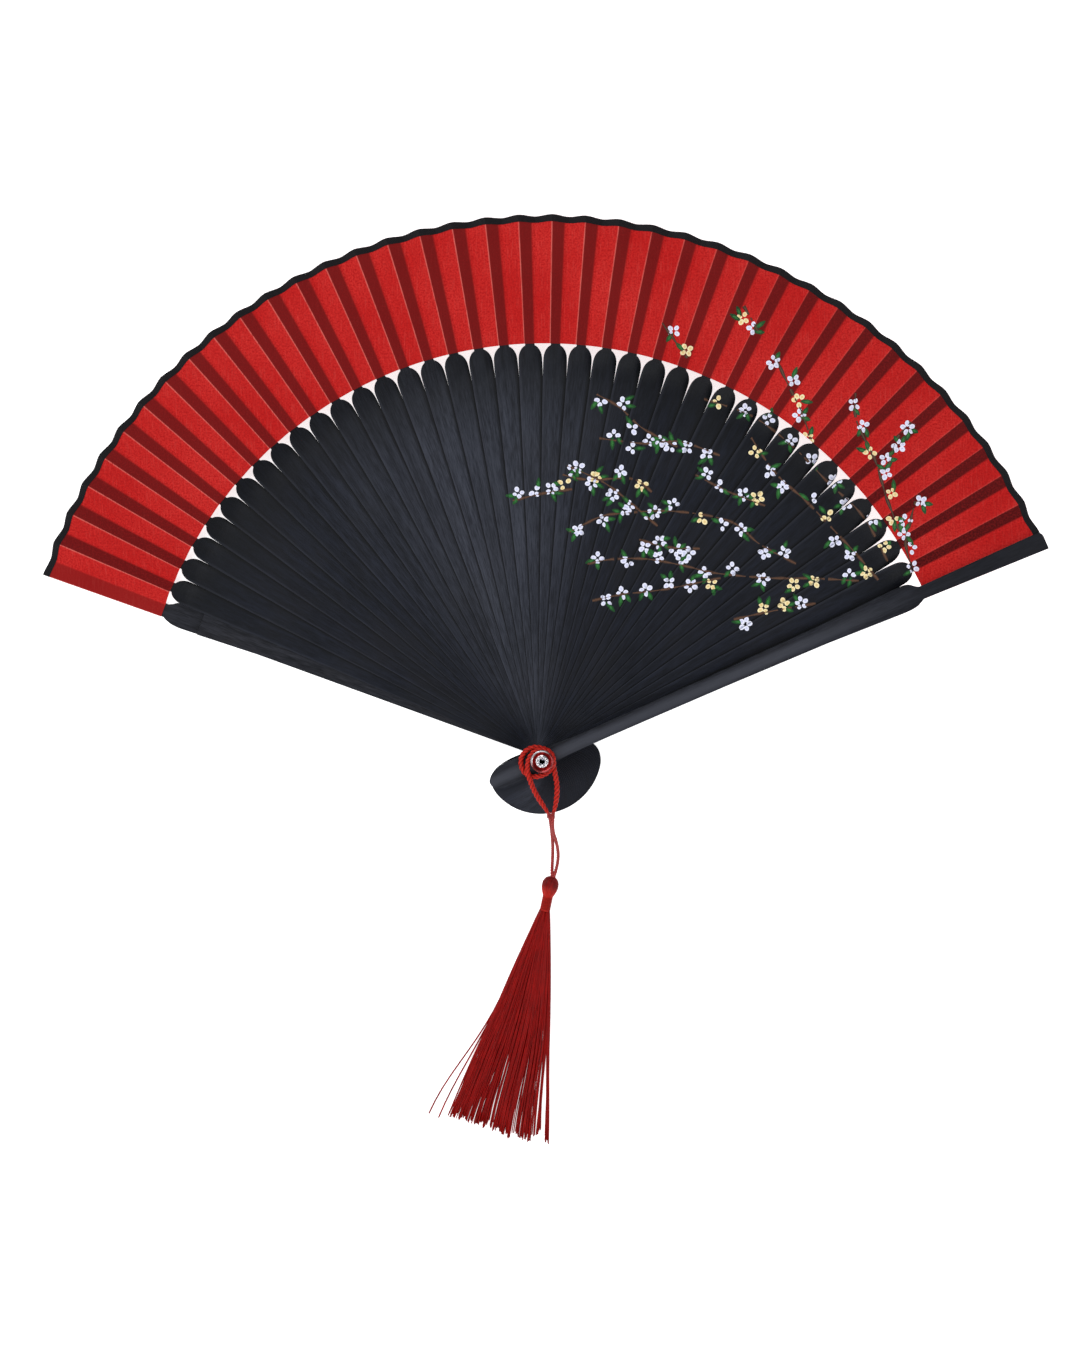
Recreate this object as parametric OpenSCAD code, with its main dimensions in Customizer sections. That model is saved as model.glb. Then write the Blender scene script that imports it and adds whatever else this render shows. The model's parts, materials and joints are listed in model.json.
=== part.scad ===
// Folding fan, laid open on its back with the decorated face up.
// X runs to the right, Y towards the top of the leaf and Z out of the decorated face.
// The origin is on the pivot axis, in the plane of the rear guard's flat back.
// Sticks are stacked like a spiral stair: each lies one layer above its left neighbour.

/* [Opening] */
// Angle from the rear guard to the front guard, degrees
opening = 135.4; // [40:0.1:150]
// Direction of the rear guard, degrees anticlockwise from +X
rear_dir = 159.7; // [140:0.1:175]
// Number of inner sticks between the two guards
sticks = 37; // [10:1:40]

/* [Guards] */
// Thickness of each guard at the pivot
guard_t = 3; // [2:0.1:5]
// Thickness left where the leaf is glued to a guard
guard_thin = 1.25; // [0.8:0.05:2]
// Pivot to the outer end of the front guard
guard_len = 190.8; // [120:0.1:260]
// Pivot to the outer end of the rear guard, which stops under the edge tape
rear_len = 188.6; // [120:0.1:260]

/* [Sticks] */
// Height of one layer of the stack
layer = 0.5; // [0.4:0.05:1.2]
// Thickness of a stick
stick_t = 0.42; // [0.3:0.02:1.1]
// Width of a stick just above the pivot
stick_neck_w = 4.6; // [3:0.1:8]
// Greatest width of a stick
stick_w = 8.5; // [5:0.1:12]
// Pivot to the rounded tip of a stick's visible blade
blade_len = 145.2; // [90:0.1:200]
// Pivot to the end of the thin rib behind the leaf
rib_len = 187.4; // [120:0.1:250]
// Width of the rib
rib_w = 3.5; // [2:0.1:6]
// Thickness of the rib
rib_t = 0.25; // [0.2:0.01:0.6]

/* [Leaf] */
// Pivot to the leaf's inner edge
leaf_in = 145.4; // [90:0.1:200]
// Pivot to the line where the edge tape starts
leaf_out = 187.8; // [120:0.1:250]
// Width of the tape folded over the outer edge
tape_w = 2.1; // [1:0.1:6]
// Thickness of the cloth
cloth_t = 0.14; // [0.08:0.01:0.4]
// Thickness of the tape and the cloth inside it
tape_t = 0.34; // [0.2:0.02:0.8]
// Slope of the panel that is glued to a rib, degrees
panel_tilt = 24; // [5:1:40]

/* [Rivet] */
// Diameter of the rivet's shank
rivet_d = 3; // [2:0.1:5]
// Diameter of the hollow through the rivet
rivet_bore = 1.8; // [1:0.1:3]
// Diameter of the dished head on the decorated face
rivet_head_d = 8; // [6:0.1:12]
// Radial gap between the shank and each hole that turns on it
running_gap = 0.04; // [0.02:0.01:0.1]

/* [Cord and tassel] */
// Diameter of the twisted hanging cord
cord_d = 1.9; // [1:0.1:3]
// Diameter of the fine strings above the tassel
string_d = 1.05; // [0.5:0.05:2]
// Radius of the cord ring round the rivet, to the cord's middle
ring_r = 5.3; // [4:0.05:9]
// Width of the tassel's threads at their ends
skirt_w = 37; // [15:1:50]
// Length of the tassel's threads below the neck
skirt_len = 85; // [40:1:120]

/* [Hidden] */

pitch = opening / (sticks + 1);
half_pitch = pitch / 2;
layer_gap = (layer - stick_t) / 2;
stack_top = guard_t + sticks * layer;
front_low = stack_top + layer_gap;
front_top = stack_top + guard_t;
front_thin_low = front_top - guard_thin;
rebate_start = 131;
shoulder_r = 143;
end_round = 1.8;

// Creases: a mountain lies left of each stick's middle line, a valley right of it.
mountain_off = 0.75;
valley_off = mountain_off - half_pitch;
crease_wave = 0.35;
slope = tan(panel_tilt);
panel_lift = rib_t / 2 / cos(panel_tilt) + 0.08 + cloth_t / 2 / cos(panel_tilt);
glue_gap = 0.2;

// The rivet's tall washer leaves room for two turns of cord under the head. The ring stands for
// the lower turn, which hangs to one side.
washer_d = 4.8;
ring_at = [-1.85, -0.3];
washer_t = 2 * cord_d + 0.15;
washer_low = front_top + 0.05;
head_low = washer_low + washer_t;
head_t = 0.6;
rear_flange_d = 6;
rear_flange_t = 0.6;

cord_z = front_top + 0.1 + cord_d / 2;
tube_sides = 8;

// Places of the tassel's pieces on their lean, which runs from the knob to the threads' ends
lean = 11.7;
knob_at = [2.8, -44.5, 3];
knob_len = 7.6;
knob_d = 6;
wrap_d = 3.7;
wrap_len = 5.2;
wrap_start = knob_len - 0.3;

left_leg_route = [[-5.9, -4, cord_z], [-5, -6.2, cord_z], [-3.5, -9.6, cord_z], [-1.7, -12.8, cord_z],
    [0.2, -15.7, cord_z], [1.5, -17.9, cord_z], [2.1, -19.4, cord_z]];
right_leg_route = [[3.5, -1.6, cord_z], [4.3, -4.4, cord_z], [5.05, -8, cord_z], [5.15, -11.6, cord_z],
    [4.75, -15.1, cord_z], [4.35, -17.2, cord_z], [4.05, -19.4, cord_z]];
left_string_route = [[2.4, -19.4, 25.6], [2.6, -20.8, 25.2], [2.8, -23.4, 23.1], [2.95, -27, 18.8],
    [3, -31, 13.4], [2.9, -35, 8.8], [2.6, -39, 5.2], [2.4, -42, 3.7], [2.3, -44.5, 3.2]];
right_string_route = [[3.75, -19.4, 25.6], [3.7, -20.8, 25.2], [3.85, -23.4, 23.1], [4.1, -27, 18.8],
    [4.75, -31, 13.4], [5.1, -35, 8.8], [4.9, -39, 5.2], [4.3, -42, 3.7], [3.4, -44.5, 3.2]];

function stick_name(k) = str("stick_", k < 10 ? "0" : "", k);

// Direction and middle height of a stick; 0 is the rear guard and sticks + 1 the front guard.
function stick_dir(k) = rear_dir - k * pitch;
function stick_z(k) = guard_t + (k - 0.5) * layer;

function smooth(t) = let (u = min(1, max(0, t))) u * u * (3 - 2 * u);
function mix(a, b, t) = a + (b - a) * t;

// Smooth curve through hand-placed points, with some points between each pair
function curve_point(a, b, c, d, t) =
    0.5 * (2 * b + (c - a) * t + (2 * a - 5 * b + 4 * c - d) * t * t
    + (3 * b - a - 3 * c + d) * t * t * t);
function curve(p, steps) = let (n = len(p) - 1) concat(
    [for (i = [0:n - 1], j = [0:steps - 1])
        curve_point(p[max(0, i - 1)], p[i], p[i + 1], p[min(n, i + 2)], j / steps)], [p[n]]);

// Rounded lobe below the pivot, from a stick's left side round to its right side
lobe = [[9, 2.3], [3, 2.9], [-2.2, 4.3], [-7.9, 5.3], [-13.6, 5.2], [-17.6, 3.6], [-20, 0.4],
    [-20.3, -2.4], [-19.4, -5.9], [-17.1, -9], [-13.6, -10.5], [-9.5, -10.2], [-5.6, -8.3],
    [-1.6, -5.1], [3, -3.1], [9, -2.3]];

// The rear guard's own lobe is a little smaller
rear_lobe = [for (p = lobe) 0.9 * p];

// Front guard below its shoulder: left side inwards, blunt tail, right side outwards
front_lower = [[70, 3.1], [30, 3], [12, 3.2], [4, 3.7], [-1, 4.1], [-6, 4.3], [-10, 4.4], [-13, 4.4],
    [-15.6, 4], [-17.9, 2.9], [-19.4, 1.7], [-20.2, 0.3], [-19.9, -1.5], [-18.7, -2.9], [-15.5, -3.7],
    [-12, -3.9], [-8, -3.9], [-3, -3.3], [4, -2.4], [12, -2], [30, -2], [70, -2.4]];

// A guard's outer part, from its right side out and back down its left side: a rounded
// shoulder below the leaf, a strip beside the leaf that widens outwards, and a square end
// with one rounded corner. Each side lists its distances from the middle line at 108, 128
// and 137 mm, then beside the leaf at the shoulder and at the end.
function guard_upper(left, right, length) = concat(
    curve([[108, -right[0]], [128, -right[1]], [137, -right[2]], [141, -right[2] + 0.3],
        [shoulder_r, -right[3] - 0.7], [shoulder_r + 1.4, -right[3]]], 4),
    [[length, -right[4]]],
    [for (a = [0:22.5:90]) [length - end_round * (1 - cos(a)), left[4] - end_round * (1 - sin(a))]],
    curve([[shoulder_r + 1.6, left[3]], [shoulder_r + 0.4, left[3] + 0.7], [141, left[2] - 0.3],
        [137, left[2]], [128, left[1]], [108, left[0]]], 4));

// Places a piece on the line of stick k
module on_stick(k) {
    rotate([0, 0, stick_dir(k)]) children();
}

module pivot_hole(low, high) {
    translate([0, 0, low - 1]) cylinder(d = rivet_d + 2 * running_gap, h = high - low + 2, $fn = 48);
}

module front_outline() {
    polygon(concat(curve(front_lower, 3),
        guard_upper([3.7, 4.4, 4.7, 2, 2.5], [3.1, 3.9, 4.3, 2.5, 4], guard_len)));
}

module rear_outline() {
    polygon(concat(curve(rear_lobe, 4),
        guard_upper([3, 3.8, 4.2, 2.4, 3.1], [3.3, 4, 4.5, 2.4, 3.1], rear_len)));
}

module rear_guard() {
    color([0.12, 0.13, 0.16]) on_stick(0) difference() {
        linear_extrude(guard_t) rear_outline();
        translate([rebate_start, -10, guard_thin]) cube([80, 20, guard_t]);
        pivot_hole(0, guard_t);
        translate([0, 0, -1])
            cylinder(d = rear_flange_d + 2 * running_gap, h = rear_flange_t + 1, $fn = 64);
    }
}

module front_guard() {
    color([0.12, 0.13, 0.16]) on_stick(sticks + 1) difference() {
        translate([0, 0, front_low]) linear_extrude(front_top - front_low) front_outline();
        translate([rebate_start, -10, front_low - 1]) cube([80, 20, front_thin_low - front_low + 1]);
        pivot_hole(front_low, front_top);
    }
}

// Outer stretch of a stick: the blade narrows to its rounded tip and turns by the panel's
// slope, so that the rib behind the leaf lies flat against its panel.
blade_start = 128;
turn_start = 132;
turn_end = 144.4;
tip_start = 140.4;
tip_bluntness = 2.1;
blade_stations = [128, 132, 134, 136, 138, tip_start, 141.4, 142.4, 143.2, 143.9, 144.4, 144.8, 145.05,
    blade_len, rib_len];

function blade_half_w(u) = let (t = (u - tip_start) / (blade_len - tip_start))
    u <= tip_start ? mix(stick_neck_w, stick_w, (u - 9) / (tip_start - 9)) / 2
    : u >= blade_len ? rib_w / 2
    : max(rib_w / 2, stick_w / 2 * pow(1 - pow(t, tip_bluntness), 1 / tip_bluntness));
function blade_tilt(u) = panel_tilt * smooth((u - turn_start) / (turn_end - turn_start));
function blade_t(u) = mix(stick_t, rib_t, smooth((u - turn_start) / (turn_end - turn_start)));

// Four corners of the blade's section at one station, left top first
function blade_ring(u) = let (w = blade_half_w(u), a = blade_tilt(u), h = blade_t(u) / 2)
    [for (c = [[1, 1], [-1, 1], [-1, -1], [1, -1]])
        [u, c[0] * w * cos(a) - c[1] * h * sin(a), c[0] * w * sin(a) + c[1] * h * cos(a)]];

module blade() {
    n = len(blade_stations);
    polyhedron(
        points = [for (u = blade_stations) each blade_ring(u)],
        faces = concat([[0, 1, 2, 3]], [[4 * n - 1, 4 * n - 2, 4 * n - 3, 4 * n - 4]],
            [for (i = [0:n - 2], j = [0:3]) let (a = 4 * i + j, b = 4 * i + (j + 1) % 4)
                each [[a, a + 4, b + 4], [a, b + 4, b]]]));
}

module stick(k) {
    color([0.13, 0.14, 0.18]) on_stick(k) translate([0, 0, stick_z(k)]) union() {
        difference() {
            translate([0, 0, -stick_t / 2]) linear_extrude(stick_t)
                polygon(concat([[blade_start, blade_half_w(blade_start)]], curve(lobe, 4),
                    [[blade_start, -blade_half_w(blade_start)]]));
            pivot_hole(-stick_t, stick_t);
        }
        blade();
    }
}

// Creases of the leaf from left to right: direction, height at a radius, and wave sign.
// Even ones are mountains and odd ones valleys; the first and last panels are glued flat.
last_crease = 2 * (sticks + 1) + 1;
function crease_dir(i) = i == 0 ? rear_dir + 1
    : i == last_crease ? stick_dir(sticks + 1) - 0.8
    : i % 2 == 0 ? stick_dir(i / 2) + mountain_off
    : stick_dir((i - 1) / 2) + valley_off;
function crease_z(i, r) = i < 2 ? guard_thin + glue_gap
    : i > last_crease - 2 ? front_thin_low - glue_gap
    : i % 2 == 0 ? stick_z(i / 2) + panel_lift + slope * r * sin(mountain_off)
    : stick_z((i - 1) / 2) + panel_lift + slope * r * sin(valley_off);
function crease_point(i, r, dz, wave) = let (q = r + wave * (i % 2 == 0 ? 1 : -1) * crease_wave)
    [q * cos(crease_dir(i)), q * sin(crease_dir(i)), crease_z(i, r) + dz];

// A pleated band between two radii; the wave is only on its outer edge when asked for
module pleated_band(r_in, r_out, t, wave) {
    n = last_crease;
    polyhedron(
        points = [for (i = [0:n]) each [crease_point(i, r_in, t / 2, 0),
            crease_point(i, r_out, t / 2, wave), crease_point(i, r_out, -t / 2, wave),
            crease_point(i, r_in, -t / 2, 0)]],
        faces = concat([[3, 2, 1, 0]], [[4 * n, 4 * n + 1, 4 * n + 2, 4 * n + 3]],
            [for (i = [0:n - 1], j = [0:3]) let (a = 4 * i + j, b = 4 * i + (j + 1) % 4)
                each [[a, b, b + 4], [a, b + 4, a + 4]]]));
}

module leaf() {
    color([0.75, 0.06, 0.06]) pleated_band(leaf_in, leaf_out, cloth_t, 0);
}

module leaf_tape() {
    color([0.06, 0.06, 0.07]) pleated_band(leaf_out, leaf_out + tape_w, tape_t, 1);
}

module rivet() {
    shank_r = rivet_d / 2;
    bore_r = rivet_bore / 2;
    head_r = rivet_head_d / 2;
    head_high = head_low + head_t;
    color([0.8, 0.8, 0.82]) rotate_extrude($fn = 96) polygon([
        [bore_r, 0], [rear_flange_d / 2, 0], [rear_flange_d / 2, rear_flange_t],
        [shank_r, rear_flange_t], [shank_r, head_low], [head_r, head_low],
        [head_r, head_high - 0.1], [head_r - 0.3, head_high], [head_r - 0.8, head_high - 0.05],
        [2.8, head_high - 0.35], [2.3, head_high - 0.1], [1.7, head_high], [bore_r, head_high - 0.3]]);
}

module rivet_washer() {
    color([0.72, 0.72, 0.74]) translate([0, 0, washer_low]) difference() {
        cylinder(d = washer_d, h = washer_t, $fn = 64);
        translate([0, 0, -1]) cylinder(d = rivet_d, h = washer_t + 2, $fn = 48);
    }
}

module loop_ring() {
    color([0.75, 0.12, 0.1]) translate([ring_at[0], ring_at[1], cord_z]) rotate_extrude($fn = 72)
        translate([ring_r, 0]) circle(d = cord_d, $fn = 24);
}

// A tube of even width swept along a smooth route; every ring stands square to the route
function unit(v) = v / norm(v);
function route_dir(p, i) = unit(p[min(len(p) - 1, i + 1)] - p[max(0, i - 1)]);
function tube_ring(p, i, r) = let (d = route_dir(p, i), a = unit(cross(d, [0.96, 0.28, 0])),
    b = cross(d, a)) [for (j = [0:tube_sides - 1]) let (s = j * 360 / tube_sides)
        p[i] + r * (a * cos(s) + b * sin(s))];

module cord_tube(route, d, steps) {
    p = curve(route, steps);
    n = len(p);
    m = tube_sides;
    polyhedron(
        points = [for (i = [0:n - 1]) each tube_ring(p, i, d / 2)],
        faces = concat([[for (j = [0:m - 1]) j]], [[for (j = [m - 1:-1:0]) (n - 1) * m + j]],
            [for (i = [0:n - 2], j = [0:m - 1]) let (a = i * m + j, b = i * m + (j + 1) % m)
                each [[a, a + m, b + m], [a, b + m, b]]]));
}

module loop_left_leg() {
    color([0.75, 0.12, 0.1]) cord_tube(left_leg_route, cord_d, 1);
}

module loop_right_leg() {
    color([0.75, 0.12, 0.1]) cord_tube(right_leg_route, cord_d, 1);
}

module string_left() {
    color([0.75, 0.12, 0.1]) cord_tube(left_string_route, string_d, 1);
}

module string_right() {
    color([0.75, 0.12, 0.1]) cord_tube(right_string_route, string_d, 1);
}

// Stands a piece on the tassel's line, a distance below the top of the knob, its own +Z
// running along the tassel, and its middle at the given height over the table
module on_tassel(along, height) {
    translate([knob_at[0], knob_at[1], 0]) rotate([0, 0, -90 - lean])
        translate([along, 0, height]) rotate([0, 90, 0]) children();
}

module tassel_knob() {
    color([0.5, 0.04, 0.05]) on_tassel(0, knob_at[2]) rotate_extrude($fn = 48)
        polygon(concat([[0, 0]], [for (a = [20:20:160]) [knob_d / 2 * pow(sin(a), 0.8),
            knob_len / 2 * (1 - cos(a))]], [[0, knob_len]]));
}

module tassel_wrap() {
    color([0.6, 0.06, 0.06]) on_tassel(wrap_start, knob_at[2] - 0.7)
        cylinder(d = wrap_d, h = wrap_len, $fn = 32);
}

// The threads, as one flat, spreading body that thins towards its ends
skirt_stations = [0, 6, 14, 26, 42, 62, skirt_len];
function skirt_half_w(s) = wrap_d / 2 + (skirt_w - wrap_d) / 2 * pow(s / skirt_len, 0.9);
function skirt_high(s) = mix(3.9, 2.6, smooth(s / 50));
skirt_low = 0.3;
function skirt_ring(s) = [for (c = [[-1, 0], [-0.8, 1], [0.8, 1], [1, 0]])
    [s, c[0] * skirt_half_w(s), c[1] == 1 ? skirt_high(s) : skirt_low]];

module tassel_skirt() {
    n = len(skirt_stations);
    color([0.5, 0.04, 0.05]) translate([knob_at[0], knob_at[1], 0]) rotate([0, 0, -90 - lean])
        translate([wrap_start + wrap_len, 0, 0]) polyhedron(
            points = [for (s = skirt_stations) each skirt_ring(s)],
            faces = concat([[3, 2, 1, 0]], [[4 * n - 4, 4 * n - 3, 4 * n - 2, 4 * n - 1]],
                [for (i = [0:n - 2], j = [0:3]) let (a = 4 * i + j, b = 4 * i + (j + 1) % 4)
                    each [[a, b, b + 4], [a, b + 4, a + 4]]]));
}

rear_guard();
front_guard();
for (k = [1:sticks]) stick(k);
rivet();
rivet_washer();
leaf();
leaf_tape();
loop_ring();
loop_left_leg();
loop_right_leg();
string_left();
string_right();
tassel_knob();
tassel_wrap();
tassel_skirt();
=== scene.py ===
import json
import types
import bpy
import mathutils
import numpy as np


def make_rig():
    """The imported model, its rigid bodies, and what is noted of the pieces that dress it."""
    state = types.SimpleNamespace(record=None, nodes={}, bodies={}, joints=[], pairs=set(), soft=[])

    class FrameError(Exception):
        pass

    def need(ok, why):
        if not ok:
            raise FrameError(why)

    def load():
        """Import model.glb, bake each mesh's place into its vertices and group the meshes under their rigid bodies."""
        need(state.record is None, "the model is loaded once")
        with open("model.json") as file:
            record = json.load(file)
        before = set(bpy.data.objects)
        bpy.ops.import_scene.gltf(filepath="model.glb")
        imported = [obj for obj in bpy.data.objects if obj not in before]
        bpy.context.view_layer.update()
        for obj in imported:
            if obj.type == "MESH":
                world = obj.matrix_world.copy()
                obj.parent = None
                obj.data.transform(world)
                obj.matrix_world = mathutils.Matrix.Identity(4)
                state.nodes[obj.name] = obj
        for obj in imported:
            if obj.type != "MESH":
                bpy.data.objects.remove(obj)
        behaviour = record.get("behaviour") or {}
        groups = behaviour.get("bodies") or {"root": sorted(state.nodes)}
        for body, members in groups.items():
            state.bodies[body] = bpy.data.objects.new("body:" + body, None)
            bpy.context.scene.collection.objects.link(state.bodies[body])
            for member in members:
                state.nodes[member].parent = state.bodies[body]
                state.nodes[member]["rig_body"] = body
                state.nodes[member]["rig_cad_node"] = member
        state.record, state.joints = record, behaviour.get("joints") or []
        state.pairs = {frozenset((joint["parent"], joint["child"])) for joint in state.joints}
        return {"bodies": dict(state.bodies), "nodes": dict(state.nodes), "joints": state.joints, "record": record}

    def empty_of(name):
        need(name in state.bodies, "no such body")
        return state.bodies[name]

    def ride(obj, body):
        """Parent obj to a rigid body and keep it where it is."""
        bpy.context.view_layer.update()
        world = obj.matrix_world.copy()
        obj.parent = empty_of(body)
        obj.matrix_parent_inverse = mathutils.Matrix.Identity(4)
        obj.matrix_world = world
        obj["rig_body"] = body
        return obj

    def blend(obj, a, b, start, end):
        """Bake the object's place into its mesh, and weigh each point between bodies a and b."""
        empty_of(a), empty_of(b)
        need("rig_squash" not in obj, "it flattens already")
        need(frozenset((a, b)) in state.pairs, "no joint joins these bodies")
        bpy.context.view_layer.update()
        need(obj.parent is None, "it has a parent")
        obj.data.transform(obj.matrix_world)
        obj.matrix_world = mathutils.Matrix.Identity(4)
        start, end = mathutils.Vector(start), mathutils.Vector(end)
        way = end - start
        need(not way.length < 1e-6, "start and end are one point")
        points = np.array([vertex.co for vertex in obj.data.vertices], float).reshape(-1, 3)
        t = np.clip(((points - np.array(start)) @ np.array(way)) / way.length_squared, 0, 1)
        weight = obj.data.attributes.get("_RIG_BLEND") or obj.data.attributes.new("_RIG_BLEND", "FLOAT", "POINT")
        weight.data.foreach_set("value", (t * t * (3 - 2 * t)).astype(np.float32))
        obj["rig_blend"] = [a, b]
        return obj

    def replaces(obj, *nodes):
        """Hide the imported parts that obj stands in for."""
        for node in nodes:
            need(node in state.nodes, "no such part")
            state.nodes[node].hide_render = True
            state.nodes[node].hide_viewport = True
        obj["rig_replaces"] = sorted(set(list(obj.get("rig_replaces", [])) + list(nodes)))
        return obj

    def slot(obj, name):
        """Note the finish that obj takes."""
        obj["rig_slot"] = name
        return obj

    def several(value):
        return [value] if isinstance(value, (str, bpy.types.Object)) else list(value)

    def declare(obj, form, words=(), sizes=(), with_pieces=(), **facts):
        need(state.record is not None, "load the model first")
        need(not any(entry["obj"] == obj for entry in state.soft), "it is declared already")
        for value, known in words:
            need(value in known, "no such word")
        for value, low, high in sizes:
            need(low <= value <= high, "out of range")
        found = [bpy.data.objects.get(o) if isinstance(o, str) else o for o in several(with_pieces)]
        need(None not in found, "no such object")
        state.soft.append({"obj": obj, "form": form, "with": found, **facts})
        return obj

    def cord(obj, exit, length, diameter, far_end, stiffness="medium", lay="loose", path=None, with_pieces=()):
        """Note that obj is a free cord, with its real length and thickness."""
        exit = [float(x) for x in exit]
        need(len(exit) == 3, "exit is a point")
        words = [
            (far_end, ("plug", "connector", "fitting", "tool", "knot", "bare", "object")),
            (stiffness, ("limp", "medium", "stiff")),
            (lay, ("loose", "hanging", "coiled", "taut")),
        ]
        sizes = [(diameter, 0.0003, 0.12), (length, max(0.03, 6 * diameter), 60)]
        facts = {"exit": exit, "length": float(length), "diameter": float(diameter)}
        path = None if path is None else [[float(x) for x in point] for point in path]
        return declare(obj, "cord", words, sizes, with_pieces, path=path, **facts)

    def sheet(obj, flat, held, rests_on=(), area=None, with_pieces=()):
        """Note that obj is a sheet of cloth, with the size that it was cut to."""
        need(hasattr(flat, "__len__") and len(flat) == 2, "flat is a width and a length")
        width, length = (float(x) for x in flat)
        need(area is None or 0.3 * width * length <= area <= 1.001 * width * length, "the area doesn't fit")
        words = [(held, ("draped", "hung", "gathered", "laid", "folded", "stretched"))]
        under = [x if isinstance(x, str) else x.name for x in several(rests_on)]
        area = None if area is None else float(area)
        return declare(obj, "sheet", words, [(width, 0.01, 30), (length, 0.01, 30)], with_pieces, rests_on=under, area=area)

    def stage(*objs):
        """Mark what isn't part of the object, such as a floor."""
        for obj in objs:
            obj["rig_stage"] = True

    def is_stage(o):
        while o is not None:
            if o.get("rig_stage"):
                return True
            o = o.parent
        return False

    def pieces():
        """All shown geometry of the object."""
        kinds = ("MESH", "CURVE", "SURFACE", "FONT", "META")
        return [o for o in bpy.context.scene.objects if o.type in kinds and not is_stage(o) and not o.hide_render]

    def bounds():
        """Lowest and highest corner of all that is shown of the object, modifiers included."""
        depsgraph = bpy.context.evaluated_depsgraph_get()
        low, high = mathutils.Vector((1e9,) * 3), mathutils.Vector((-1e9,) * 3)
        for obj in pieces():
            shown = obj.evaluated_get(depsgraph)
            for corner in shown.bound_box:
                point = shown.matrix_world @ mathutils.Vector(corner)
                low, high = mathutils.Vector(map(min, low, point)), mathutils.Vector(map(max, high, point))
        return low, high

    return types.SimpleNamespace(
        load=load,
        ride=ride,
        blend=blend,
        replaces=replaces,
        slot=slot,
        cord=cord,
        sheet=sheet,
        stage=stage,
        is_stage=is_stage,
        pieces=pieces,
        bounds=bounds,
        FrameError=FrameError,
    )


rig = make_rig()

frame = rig.load()

import json
import math
import random

import bmesh
import bpy
from mathutils import Euler, Vector
from mathutils.bvhtree import BVHTree

cad_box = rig.bounds()

# Sizes are in millimetres and degrees, and meshes are scaled to metres when they are made.
MM = 0.001
rng = random.Random(7)

# The same layout as the CAD model: stick 0 is the rear guard, and the last one the front guard.
STICKS = 37
LAST = STICKS + 1
OPENING = 135.4
REAR_DIR = 159.7
PITCH = OPENING / LAST
GUARD_T = 3.0
GUARD_THIN = 1.25
LAYER = 0.5
FRONT_TOP = GUARD_T + STICKS * LAYER + GUARD_T
NECK_AT = 9.0
STICK_NECK_W = 4.6
STICK_W = 8.5
BLADE_LEN = 145.2
TIP_START = 140.4
TIP_BLUNTNESS = 2.1
BLADE_SLOPE = (STICK_W - STICK_NECK_W) / 2 / (TIP_START - NECK_AT)
BLADE_HALF_W = STICK_NECK_W / 2 - NECK_AT * BLADE_SLOPE
LEAF_IN = 145.4
LEAF_OUT = 187.8
TAPE_W = 2.1
CLOTH_T = 0.14
TAPE_T = 0.34
PANEL_TILT = 24.0
MOUNTAIN_OFF = 0.75
VALLEY_OFF = MOUNTAIN_OFF - PITCH / 2
CREASE_WAVE = 0.35
RIB_T = 0.25
GLUE_GAP = 0.2
CORD_D = 1.9
STRING_D = 1.05
CORD_Z = FRONT_TOP + 0.1 + CORD_D / 2


def stick_dir(k):
    return REAR_DIR - k * PITCH


def stick_z(k):
    return GUARD_T + (k - 0.5) * LAYER


def stick_node(k):
    return "rear_guard" if k == 0 else "front_guard" if k == LAST else f"stick_{k:02d}"


def stick_body(k):
    return "rear" if k == 0 else "front" if k == LAST else f"stick_{k:02d}_body"


def mix(a, b, t):
    return a + (b - a) * t


def smooth(t):
    t = min(1.0, max(0.0, t))
    return t * t * (3 - 2 * t)


def polar(direction, radius, z=0.0):
    angle = math.radians(direction)
    return Vector((radius * math.cos(angle), radius * math.sin(angle), z))


def link(obj):
    bpy.context.scene.collection.objects.link(obj)
    return obj


# -------- camera
# Looks down on the fan from 1.2 m, tilted a little off square.
CAMERA_LENS = 111.8
CAMERA_TILT = (-5.42, 1.95, 0.28)
CAMERA_OFFSET = Vector((-1.7, 27.5, 1200.0))

camera = link(bpy.data.objects.new("camera", bpy.data.cameras.new("camera")))
camera.data.sensor_fit = "HORIZONTAL"
camera.data.sensor_width = 36
camera.data.lens = CAMERA_LENS
camera.rotation_mode = "ZYX"
camera.rotation_euler = [math.radians(a) for a in CAMERA_TILT]
camera.location = Euler(camera.rotation_euler, "ZYX").to_matrix() @ CAMERA_OFFSET * MM
bpy.context.scene.camera = camera


# -------- mesh helpers
FINE_STEPS = 20


def new_piece(name, points, faces, materials, uvs=None, face_materials=None):
    """A mesh object from points in millimetres. uvs holds one (u, v) for each point, by layer name;
    the layer "tube" goes round a closed tube, so its last faces run on past the seam."""
    mesh = bpy.data.meshes.new(name)
    mesh.from_pydata([[c * MM for c in p] for p in points], [], faces)
    for material in materials:
        mesh.materials.append(material)
    mesh.polygons.foreach_set("use_smooth", [True] * len(mesh.polygons))
    if face_materials:
        mesh.polygons.foreach_set("material_index", face_materials)
    for layer_name, values in (uvs or {}).items():
        layer = mesh.uv_layers.new(name=layer_name)
        for polygon in mesh.polygons:
            highest = max(values[v][0] for v in polygon.vertices)
            for loop, v in zip(polygon.loop_indices, polygon.vertices):
                across, along = values[v]
                is_past_seam = layer_name == "tube" and highest - across > 0.5
                layer.data[loop].uv = (across + is_past_seam, along)
    return link(bpy.data.objects.new(name, mesh))


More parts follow.
